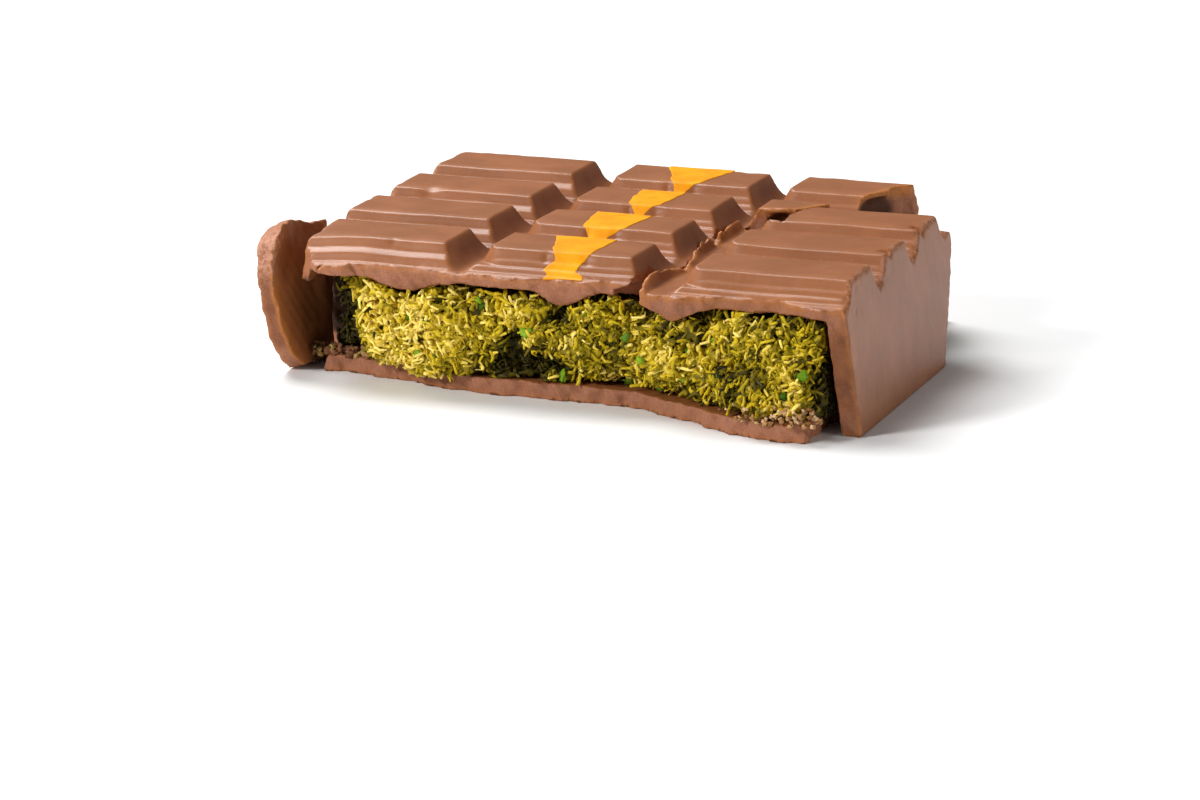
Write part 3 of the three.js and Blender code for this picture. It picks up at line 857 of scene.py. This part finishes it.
def room_roof(x, y):
    """Lowest chocolate over a place: the top plate's underside, or the corner piece's."""
    roof = ceiling(x, y) - ROOM_MARGIN + 3 * (1 - smoothstep(-1.2, 0.2, y - rim_line(x)))
    corner_x, corner_y = before_corner_slid(x, y)
    left, front, rear = CORNER_COVER
    over = (corner_x > left) & (corner_y < rear) & (corner_y > front)
    return np.where(over, np.minimum(roof, ceiling(corner_x, corner_y) - ROOM_MARGIN), roof)


def room_wall(x, y, z):
    """Inner face of the right wall, or of the corner piece's wall where that stands."""
    _, corner_y = before_corner_slid(x, y)
    wall = RIGHT_EDGE + spread_at(z) - WALL_THICKNESS - 0.1
    return np.where((corner_y < 14) & (y < 12), wall + CORNER_SHIFT[0] - 0.6, wall)


def room_floor(x, y):
    """Top of the base, and a little over the ground in front of the base."""
    return 0.4 + (BASE_THICKNESS - 0.35) * smoothstep(-0.9, -0.3, y - base_line(x))


def keep_in_room(points):
    """Presses shreds flat where they would pass into the chocolate above, below or beside them."""
    x, y, z = points.T
    z = np.clip(z, room_floor(x, y), room_roof(x, y))
    return np.stack([np.minimum(x, room_wall(x, y, z)), y, z], 1)


class Mat:
    """The open front of the filling: shreds fused with one another and with the core, on a grid."""

    def __init__(self, low, high, step):
        """Starts with the core alone, in a dark tint that is painted shade where the core shows between the
        shreds.
        """
        self.step, self.low = step, np.array(low, np.float32)
        self.axes = [np.arange(a, b, step, dtype=np.float32) for a, b in zip(low, high)]
        self.grid = np.meshgrid(*self.axes, indexing="ij")
        self.value = filling_field(*self.grid)
        self.nearest = self.value.copy()
        self.tint = np.full(self.value.shape, 0.05, np.float32)

    def fuse(self, path, radius, tint):
        """Fuses on one shred: a round bar along a chain of points, joined on with filled corners."""
        reach = radius + 0.8
        first = np.maximum(((path.min(0) - reach - self.low) / self.step).astype(int), 0)
        last = np.minimum(((path.max(0) + reach - self.low) / self.step).astype(int) + 2, self.value.shape)
        if np.any(last <= first):
            return
        part = tuple(slice(a, b) for a, b in zip(first, last))
        x = self.axes[0][part[0], None, None]
        y = self.axes[1][None, part[1], None]
        z = self.axes[2][None, None, part[2]]
        least = np.float32(1e9)
        for (ax, ay, az), (bx, by, bz) in zip(path, path[1:]):
            dx, dy, dz = bx - ax, by - ay, bz - az
            t = np.clip(((x - ax) * dx + (y - ay) * dy + (z - az) * dz)
                        / (dx * dx + dy * dy + dz * dz), 0, 1)
            least = np.minimum(least, (x - ax - t * dx) ** 2 + (y - ay - t * dy) ** 2
                               + (z - az - t * dz) ** 2)
        distance = np.sqrt(least) - radius
        nearer = distance < self.nearest[part]
        self.nearest[part] = np.where(nearer, distance, self.nearest[part])
        self.tint[part] = np.where(nearer, tint, self.tint[part])
        self.value[part] = round_min(self.value[part], distance, 0.16)

    def surface(self):
        """Points, triangles and tints, with fine lumps, kept inside the room."""
        x, y, z = self.grid
        value = self.value - 0.09 * noise(x, y, z, 0.9, 2)
        for limit in (z - room_roof(x, y), x - room_wall(x, y, z), room_floor(x, y) - z):
            value = np.maximum(value, limit)
        for axis, last in ((x, self.axes[0][-2]), (y, self.axes[1][-2]), (z, self.axes[2][-2])):
            value = np.maximum(value, axis - last + 0.01)
        points, quads = drawn(value, self.axes)
        at = np.round((points - self.low) / self.step).astype(int)
        at = np.minimum(at, np.array(self.value.shape) - 1)
        return points, halves(quads), self.tint[tuple(at.T)]


def in_chocolate(points, margin):
    """Whether each point lies in the shell or in the corner piece, or within a margin of them."""
    x, y, z = points.T
    corner_x, corner_y = before_corner_slid(x, y)
    return (shell_field(x, y, z) < margin) | (corner_field(corner_x, corner_y, z) < margin)


class Bed:
    """A surface of the filling, to scatter shreds on: hardly any land where chocolate lies against it."""

    def __init__(self, points, faces):
        """Weighs each triangle by its area and by whether it is out in the open.

        A triangle is covered where chocolate stands before it, and behind the front also where
        chocolate lies over it.
        """
        corners = points[faces]
        cross = np.cross(corners[:, 1] - corners[:, 0], corners[:, 2] - corners[:, 0])
        area = np.linalg.norm(cross, axis=1) / 2
        self.normal = cross / np.maximum(2 * area, 1e-9)[:, None]
        self.corners = corners
        ahead = corners.mean(1) + AHEAD * self.normal
        above = corners.mean(1) + np.array((0, 0, OVERHEAD), np.float32)
        covered = in_chocolate(ahead, 0.1) | ((ahead[:, 1] > BEHIND_FRONT) & in_chocolate(above, 0.3))
        self.weight = np.where(covered, 0.02, 1.0) * area

    def pick(self, count, rng, clumped=0.0):
        """Random places on the bed, by weight, with the way out of it at each."""
        clump = noise(*self.corners.mean(1).T.astype(np.float32), 4.2, 3)
        chance = self.weight * (1 - clumped + clumped * smoothstep(-0.45, 0.4, clump))
        chance /= chance.sum()
        chosen = rng.choice(len(chance), count, p=chance)
        u, v = rng.random((2, count))
        over = u + v > 1
        u[over], v[over] = 1 - u[over], 1 - v[over]
        a, b, c = self.corners[chosen].transpose(1, 0, 2)
        return a + u[:, None] * (b - a) + v[:, None] * (c - a), self.normal[chosen]


def open_share(place):
    """How dry and pale shreds are: least in the cream behind the face at large, less so in the crack; that
    darkening is partly the cream and partly painted shade in the hollows.
    """
    x, y, z = place.T
    return 1 - 0.92 * smoothstep(0.9, 2.9, y - face_at_large(x, z)) * (1 - 0.7 * smoothstep(4, 7, y))


def strew(bed, count, lift, lean, clumped, rng):
    """Middle, direction and bend of shreds strewn over the bed, with their tints.

    On the right most shreds rise to the right, as the break combed them. A tint is random about
    a middle, varies in patches, rises with the height over the bed, falls towards the right, and falls
    further at the far left, as painted shade beside the flake.
    """
    place, out = bed.pick(count, rng, clumped)
    along = rng.normal(size=(count, 3))
    combed = rng.choice((-1, 1), (count, 1)) * smoothstep(2, 14, place[:, :1])
    along += combed * np.array((0.9, 0, 1.1))
    along -= (1 - lean) * (along * out).sum(1, keepdims=True) * out
    along /= np.linalg.norm(along, axis=1, keepdims=True)
    bend = rng.normal(size=(count, 3)) * 0.45 + out * rng.uniform(-0.2, 0.6, (count, 1))
    height = rng.uniform(*lift, (count, 1))
    tint = (0.34 + 0.9 * rng.beta(1.9, 1.9, count) + 0.28 * noise(*place.T.astype(np.float32), 4.4, 2)
            + 0.2 * height[:, 0] - 0.30 * smoothstep(-12, 10, place[:, 0])
            # Painted shade: shreds at the far left, beside the flake, are darker
            - 0.50 * smoothstep(-25, -33, place[:, 0]))
    return place + out * height, along, bend, tint * open_share(place)


def fused_shreds(bed, count, seed):
    """The filling's open front, as points, triangles and tints."""
    rng = np.random.default_rng(seed)
    centre, along, bend, tint = strew(bed, count, (-0.5, 0.8), 0.55, 0.6, rng)
    length, radius = rng.uniform(1.1, 2.6, count), rng.uniform(0.23, 0.36, count)
    mat = Mat(MAT_LOW, MAT_HIGH, MAT_STEP)
    # Fused shreds keep four fifths of their tint: painted shade under the loose threads
    for path, thick, shade in zip(bent_lines(centre, along, bend, length), radius, 0.8 * tint):
        mat.fuse(path, thick, shade)
    return mat.surface()


def scatter_threads(name, bed, count, length, radius, lift, seed, lean):
    """Loose threads strewn over the bed, each with its own tint."""
    rng = np.random.default_rng(seed)
    centre, along, bend, tint = strew(bed, count, lift, lean, 0.45, rng)
    points, faces, each = threads(centre, along, bend, rng.uniform(*length, count),
                                  rng.uniform(*radius, count), rng)
    piece = make_piece(name, keep_in_room(points), faces)
    store(piece, "tint", np.repeat(tint, each))
    return piece


def scatter_grains(name, places, size, seed, keep=True):
    """Crumbs at given places, each with its own size and tint, none below the floor."""
    rng = np.random.default_rng(seed)
    points, faces, each = grains(places, rng.uniform(*size, len(places)), rng)
    points[:, 2] = np.maximum(points[:, 2], 0.02)
    piece = make_piece(name, keep_in_room(points) if keep else points, faces)
    store(piece, "tint", np.repeat(rng.random(len(places)), each))
    return piece


# Materials

class Wire:
    """A number that runs through a material, used like any number: each operator adds a Math node."""

    def __init__(self, finish, socket):
        """Remembers the material and the socket that the number comes from."""
        self.finish, self.socket = finish, socket

    def _join(self, operation, first, second):
        """One Math node for two numbers."""
        return self.finish.node("ShaderNodeMath", {"operation": operation}, {0: first, 1: second})

    def __add__(self, other):
        return self._join("ADD", self, other)

    def __radd__(self, other):
        return self._join("ADD", other, self)

    def __sub__(self, other):
        return self._join("SUBTRACT", self, other)

    def __rsub__(self, other):
        return self._join("SUBTRACT", other, self)

    def __mul__(self, other):
        return self._join("MULTIPLY", self, other)

    def __rmul__(self, other):
        return self._join("MULTIPLY", other, self)


class Finish:
    """A node material: node() adds any node, with its settings first and then its sockets."""

    def __init__(self, name):
        """Starts an empty material."""
        self.material = bpy.data.materials.new(name)
        self.material.use_nodes = True
        self.tree = self.material.node_tree
        self.tree.nodes.clear()
        self.place = self.node("ShaderNodeTexCoord", {}, {}, "Object")

    def node(self, kind, settings, sockets, output=0):
        """Adds a node and returns one of its outputs."""
        made = self.tree.nodes.new(kind)
        for key, value in settings.items():
            if key == "stops":
                self._set_stops(made.color_ramp, value)
            else:
                setattr(made, key, value)
        for key, value in sockets.items():
            if isinstance(value, Wire):
                self.tree.links.new(value.socket, made.inputs[key])
            else:
                made.inputs[key].default_value = value
        return Wire(self, made.outputs[output]) if len(made.outputs) else None

    def _set_stops(self, ramp, stops):
        """Sets the colours of a ramp."""
        while len(ramp.elements) < len(stops):
            ramp.elements.new(0.5)
        for element, (place, colour) in zip(ramp.elements, stops):
            element.position = place
            element.color = (*colour, 1)

    def lumps(self, size, detail=2.0, roughness=0.5, stretch=(1, 1, 1)):
        """Noise with lumps of a size in millimetres, from 0 to 1."""
        scale = tuple(1 / s for s in stretch)
        where = self.node("ShaderNodeMapping", {}, {"Vector": self.place, "Scale": scale})
        return self.node("ShaderNodeTexNoise", {},
                         {"Vector": where, "Scale": 1 / (size * MM), "Detail": detail,
                          "Roughness": roughness})

    def mark(self, name):
        """A number kept on the piece's points."""
        return self.node("ShaderNodeAttribute", {"attribute_name": name}, {}, "Fac")

    def fade(self, value, low, high):
        """0 below low and 1 above high, with a smoothstep between. With low above high it falls."""
        return self.node("ShaderNodeMapRange", {"interpolation_type": "SMOOTHSTEP"},
                         {"Value": value, "From Min": low, "From Max": high})

    def blend(self, share, first, second):
        """A colour between two colours."""
        first = first if isinstance(first, Wire) else (*first, 1)
        second = second if isinstance(second, Wire) else (*second, 1)
        return self.node("ShaderNodeMix", {"data_type": "RGBA"}, {0: share, 6: first, 7: second}, 2)

    def ramp(self, value, stops):
        """A colour that follows a number."""
        return self.node("ShaderNodeValToRGB", {"stops": stops}, {"Fac": value})

    def bump(self, height, depth):
        """A normal from a height between 0 and 1, which stands for a depth in millimetres."""
        return self.node("ShaderNodeBump", {}, {"Height": height, "Distance": depth * MM, "Strength": 1.0})

    def done(self, **sockets):
        """Ends the material in one surface shader."""
        shader = self.node("ShaderNodeBsdfPrincipled", {},
                           {key.replace("_", " "): value for key, value in sockets.items()})
        self.node("ShaderNodeOutputMaterial", {}, {"Surface": shader})
        return self.material


# Colours of the chocolate, a darker and a paler one where they are mixed in patches
SKIN = ((0.250, 0.084, 0.026), (0.300, 0.104, 0.035))
MOTTLED = (0.34, 0.135, 0.058)
TORN = ((0.27, 0.100, 0.048), (0.37, 0.155, 0.083))
SOAKED = ((0.17, 0.055, 0.020), (0.24, 0.088, 0.040))
# A warm edge colour: partly scraped chocolate, partly painted light where thin edges catch the light and glow
SCRAPED_AND_GLOWING = (0.44, 0.150, 0.030)
SCUFFED = (0.52, 0.27, 0.18)
# Painted shade, for hollows and gaps in the broken chocolate
PAINTED_SHADE = (0.050, 0.013, 0.003)


def milk_chocolate():
    """Satin where it was moulded, pale and granular where it broke, with a warm rim, partly scraped and
    partly painted light where a thin edge catches light and glows.

    Between the base and the top plate the broken faces are darker, soaked by the filling, and hollows and
    gaps are darkened as painted shade.
    """
    finish = Finish("milk_chocolate")
    broken, rim = finish.mark("broken"), finish.mark("rim")
    cloud = finish.lumps(7.0, 3.0)
    smear = finish.lumps(1.6, 2.0, 0.6, stretch=(6, 1, 2))
    skin = finish.blend(finish.fade(cloud, 0.35, 0.7), *SKIN)
    speck = finish.lumps(0.2, 3.0, 0.6)
    granular = finish.fade(speck, 0.3, 0.75)
    height = finish.node("ShaderNodeSeparateXYZ", {}, {"Vector": finish.place}, "Z")
    beside_filling = finish.fade(height, 0.0155, 0.0125) * finish.fade(height, 0.0025, 0.0045)
    torn = finish.blend(beside_filling, finish.blend(granular, *TORN), finish.blend(granular, *SOAKED))
    mottle = finish.lumps(0.7, 3.0, 0.7)
    skin = finish.blend(0.35 * finish.fade(mottle, 0.45, 0.75), skin, MOTTLED)
    colour = finish.blend(broken, skin, torn)
    # Painted light in part: thin broken edges catching the light and glowing, besides scraped chocolate
    colour = finish.blend(rim * 0.75, colour, SCRAPED_AND_GLOWING)
    scuff = finish.mark("worn") * finish.fade(mottle, 0.40, 0.58)
    colour = finish.blend(scuff * 0.7, colour, SCUFFED)
    # Painted shade: the crack's hollows, the wall's end behind the flake and the corner piece's lower front
    # are darkened
    colour = finish.blend(finish.mark("deep") * 0.92, colour, PAINTED_SHADE)
    grain = finish.lumps(0.45, 4.0, 0.65)
    polish = finish.lumps(2.4)
    roughness = 0.33 + 0.12 * smear + broken * 0.32 + 0.2 * scuff
    relief = 0.5 * broken * grain + (1 - broken) * (0.10 * polish + 0.05 * smear)
    return finish.done(Base_Color=colour, Roughness=roughness, Normal=finish.bump(relief, 0.22),
                       Specular_IOR_Level=0.32)


def shred_finish(name, stops, roughness):
    """Moist pastry: each shred has its own tint, darker in patches, under a thin gloss."""
    finish = Finish(name)
    tint = finish.mark("tint")
    patch = finish.lumps(1.1, 3.0, 0.6)
    colour = finish.ramp(tint + 0.35 * (patch - 0.5), stops)
    fine = finish.lumps(0.22, 2.0, 0.6)
    return finish.done(Base_Color=colour, Roughness=roughness + 0.2 * patch,
                       Normal=finish.bump(fine, 0.06), Coat_Weight=0.04, Coat_Roughness=0.15,
                       Specular_IOR_Level=0.14)


STRIPE_COLOURS = ((0.76, 0.275, 0.002), (0.82, 0.345, 0.003))


def stripe_finish():
    """Coloured cocoa butter: even orange with yellower patches and a satin skin."""
    finish = Finish("orange_stripe")
    patch = finish.lumps(3.0)
    colour = finish.blend(finish.fade(patch, 0.35, 0.7), *STRIPE_COLOURS)
    grain = finish.lumps(0.5)
    return finish.done(Base_Color=colour, Roughness=0.40 + 0.12 * grain,
                       Normal=finish.bump(grain, 0.03), Specular_IOR_Level=0.10)


def floor_finish():
    """A plain pale floor."""
    finish = Finish("floor")
    return finish.done(Base_Color=(0.86, 0.86, 0.86, 1), Roughness=0.6)


# Pieces

# The stripe's outline from front to back, each as y, left edge and right edge
STRIPE = ((-31.7, -1.5, 3.9), (-30.3, -1.3, 3.9), (-29.7, -2.0, 2.5), (-28.5, -0.6, 3.0), (-27.5, -1.4, 3.9),
          (-18.3, -4.2, 4.3), (-17.5, -1.9, 0.7), (-12.5, -1.9, 0.7), (-11.4, -3.1, 3.0),
          (-2.3, -4.3, 3.6), (-1.5, -1.1, 0.4), (3.5, -1.1, 0.4), (5.0, -2.6, 2.2),
          (13.7, -3.6, 2.9), (14.5, -0.9, 0.7), (19.5, -0.9, 0.7), (20.9, -1.9, 2.5), (24.6, -3.1, 3.3),
          (29.0, -5.0, 4.4))
STRIPE_ROWS, STRIPE_COLUMNS = 500, 30
STRIPE_PROUD, STRIPE_SUNK = 0.07, 0.12


def make_stripe():
    """The stripe of coloured cocoa butter: a skin on the top face between two uneven edges.

    It is wide on each block, widest at the block's back, and a neck in each groove. Its upper
    side stands a hair proud of the chocolate and its under side lies a hair inside.
    """
    along, across = np.linspace(0, 1, STRIPE_ROWS), np.linspace(0, 1, STRIPE_COLUMNS)
    y = mix(-31.2, BACK_EDGE - 0.3, along)
    zero = 0 * y
    at, left_edge, right_edge = zip(*STRIPE)
    left = np.interp(y, at, left_edge) + 0.22 * noise(y, zero, zero, 1.5, 1)
    right = np.interp(y, at, right_edge) + 0.18 * noise(y, zero + 9, zero, 1.4, 2)
    x = mix(left[:, None], right[:, None], across[None])
    y = np.broadcast_to(y[:, None], x.shape).copy()
    y[0] = rim_line(x[0]) + 0.15
    top = top_height(x, y)
    points = np.concatenate([np.stack([x, y, top + lift], -1).reshape(-1, 3)
                             for lift in (STRIPE_PROUD, -STRIPE_SUNK)])
    rows, columns = x.shape
    i, j = np.meshgrid(np.arange(rows - 1), np.arange(columns - 1), indexing="ij")
    a = (i * columns + j).ravel()
    sheet = np.stack([a, a + 1, a + columns + 1, a + columns], 1)
    edge = np.concatenate([np.arange(columns), columns * np.arange(1, rows) + columns - 1,
                           (rows - 1) * columns + np.arange(columns - 2, -1, -1),
                           columns * np.arange(rows - 2, 0, -1)])
    following = np.roll(edge, -1)
    below = rows * columns
    side = np.stack([edge, edge + below, following + below, following], 1)
    return make_piece("orange_stripe", points,
                      halves(np.concatenate([sheet, sheet[:, ::-1] + below, side])))


def make_chocolate():
    """The shell, the corner piece and the flake."""
    shell = chocolate_piece("chocolate_shell_broken", shell_field, shell_skin, shell_marks,
                            (-41, -41, 0), (38.6, 34, 20.4), SHELL_STEP, SHELL_TRIANGLES)
    corner = chocolate_piece("corner_blocks", corner_field, corner_skin, corner_marks,
                             (7, -34, 0), (39.8, 18.5, 20.4), SHELL_STEP, CORNER_TRIANGLES, place_corner)
    flake = chocolate_piece("side_flake", flake_field, flake_skin, flake_marks,
                            (-1, -17, 0), (8, 5, 20.6), 0.9 * SHELL_STEP, CORNER_TRIANGLES, place_flake)
    skin = milk_chocolate()
    for piece, node in ((shell, "chocolate_shell"), (corner, "broken_corner"), (flake, "wall_flake")):
        piece.data.materials.append(skin)
        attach(piece, "root")
        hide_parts(node)
    stripe = make_stripe()
    stripe.data.materials.append(stripe_finish())
    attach(stripe, "root")


# Colours from the darkest tint to the palest
CREAMY = ((0.0, (0.018, 0.012, 0.001)), (0.15, (0.075, 0.058, 0.001)), (0.4, (0.27, 0.200, 0.003)),
          (0.7, (0.66, 0.475, 0.012)), (1.0, (1.0, 0.79, 0.19)))
NUT = ((0.0, (0.04, 0.10, 0.003)), (0.5, (0.12, 0.26, 0.006)), (1.0, (0.25, 0.42, 0.02)))
TOAST = ((0.0, (0.20, 0.08, 0.02)), (0.5, (0.45, 0.24, 0.09)), (1.0, (0.72, 0.47, 0.27)))
COCOA = ((0.0, (0.10, 0.035, 0.012)), (0.6, (0.26, 0.11, 0.05)), (1.0, (0.45, 0.33, 0.09)))


def crumb_places(count, across, back, high, rng):
    """Places for crumbs along the base's front edge.

    A random number to the power of 0.6 gives the place along the stretch, so they lie thicker
    towards its end, and one to the power of 1.5 the height over the base, so most lie low.
    """
    x = mix(across[0], across[1], rng.random(count) ** 0.6)
    return np.stack([x, base_line(x) + rng.uniform(*back, count),
                     BASE_THICKNESS + high * rng.random(count) ** 1.5], 1)


def rear_core(x, y, z):
    """The filling's core behind its open front."""
    return np.maximum(filling_field(x, y, z), CORE_FRONT - y)


def make_filling():
    """The filling: its fused front, the plain core behind, and loose shreds, nuts and crumbs."""
    points, quads = surface_of(filling_field, (-39, -42, 2), (40, 31, 16), CORE_STEP)
    bed = Bed(points, halves(quads))
    points, quads = surface_of(rear_core, (-39, -19, 2), (40, 31, 16), CORE_STEP)
    rear_bed = Bed(points, halves(quads))
    core = make_piece("filling_core", points, halves(quads))
    store(core, "tint", np.full(len(points), 0.15))
    points, faces, tint = fused_shreds(bed, 3600, 10)
    mat = make_piece("kunafa_mat", points, faces)
    store(mat, "tint", tint)
    open_front = Bed(points, faces)
    creamy = shred_finish("pistachio_cream", CREAMY, 0.42)
    scattered = [(core, creamy), (mat, creamy)]
    # Loose shreds: how many, their length and radius, their height over the bed, the seed and the lean
    for name, ground, *how in (
            ("kadaif_threads", open_front, 3600, (0.8, 2.0), (0.19, 0.28), (-0.1, 0.3), 11, 0.5),
            ("kadaif_behind", bed, 1200, (1.4, 2.8), (0.22, 0.32), (0.0, 0.7), 12, 0.8),
            ("kadaif_in_crack", rear_bed, 1000, (1.2, 2.6), (0.24, 0.36), (-0.2, 0.5), 17, 0.5)):
        scattered.append((scatter_threads(name, ground, *how), creamy))
    rng = np.random.default_rng(13)
    place, out = open_front.pick(60, rng)
    scattered.append((scatter_grains("pistachio_bits", place + 0.25 * out, (0.35, 0.7), 14),
                      shred_finish("pistachio", NUT, 0.4)))
    toasted = crumb_places(90, (25, 39.4), (-1.0, 2.2), 2.0, rng)
    scattered.append((scatter_grains("toasted_crumbs", toasted, (0.16, 0.38), 15),
                      shred_finish("toasted_crumbs", TOAST, 0.6)))
    fallen = crumb_places(70, (-26, -38.6), (0.2, 3.0), 0.9, rng)
    behind_flake = rng.uniform((-39.2, -20.0, 0.4), (-37.8, -15.5, 1.1), (24, 3))
    scattered.append((scatter_grains("chocolate_crumbs", np.concatenate([fallen, behind_flake]),
                                     (0.25, 0.6), 16, keep=False),
                      shred_finish("chocolate_crumbs", COCOA, 0.5)))
    for piece, finish in scattered:
        piece.data.materials.append(finish)
        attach(piece, "root")
        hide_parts("kunafa_filling")


# Stage

CAMERA_AZIMUTH = math.radians(20.18)
CAMERA_ELEVATION = math.radians(14.09)
CAMERA_DISTANCE = 0.7404
CAMERA_TARGET = Vector((-0.0049, 0, -0.0072))
CAMERA_LENS = 160.6
CAMERA_SENSOR = 36

FLOOR_REACH = 3000
SURROUND_STRENGTH = 0.16
# Soft lights, each as name, place and width in metres, and power
LIGHTS = (("overhead", (-0.52, 0.32, 0.84), 0.6, 14.5), ("key", (-0.66, -0.80, 0.62), 0.30, 11),
          ("fill", (0.80, -0.35, 0.09), 0.3, 2.6))


def make_camera():
    """A long lens from the front, a little to the right and above."""
    data = bpy.data.cameras.new("camera")
    data.lens = CAMERA_LENS
    data.sensor_width = CAMERA_SENSOR
    camera = bpy.data.objects.new("camera", data)
    back = Vector((math.sin(CAMERA_AZIMUTH) * math.cos(CAMERA_ELEVATION),
                   -math.cos(CAMERA_AZIMUTH) * math.cos(CAMERA_ELEVATION), math.sin(CAMERA_ELEVATION)))
    camera.matrix_world = (Matrix.Translation(CAMERA_TARGET + back * CAMERA_DISTANCE)
                           @ back.to_track_quat("Z", "Y").to_matrix().to_4x4())
    bpy.context.scene.collection.objects.link(camera)
    bpy.context.scene.camera = camera


def soft_light(name, place, size, power):
    """A square soft white light that faces the bar."""
    data = bpy.data.lights.new(name, "AREA")
    data.size, data.energy = size, power
    light = bpy.data.objects.new(name, data)
    place = Vector(place)
    light.matrix_world = Matrix.Translation(place) @ place.to_track_quat("Z", "Y").to_matrix().to_4x4()
    bpy.context.scene.collection.objects.link(light)


def make_stage():
    """A pale floor, a white surround, lights from above behind and from the upper left, and a low fill."""
    corners = FLOOR_REACH * np.array([(-1, -1, 0), (1, -1, 0), (1, 1, 0), (-1, 1, 0)], np.float32)
    floor = make_piece("floor", corners, np.array([(0, 1, 2), (0, 2, 3)]))
    floor.data.materials.append(floor_finish())
    world = bpy.data.worlds.new("surround")
    world.use_nodes = True
    surround = world.node_tree.nodes["Background"].inputs
    surround["Color"].default_value = (1, 1, 1, 1)
    surround["Strength"].default_value = SURROUND_STRENGTH
    scene = bpy.context.scene
    scene.world = world
    scene.view_settings.view_transform = "Standard"
    for light in LIGHTS:
        soft_light(*light)


make_camera()
make_stage()
make_chocolate()
make_filling()
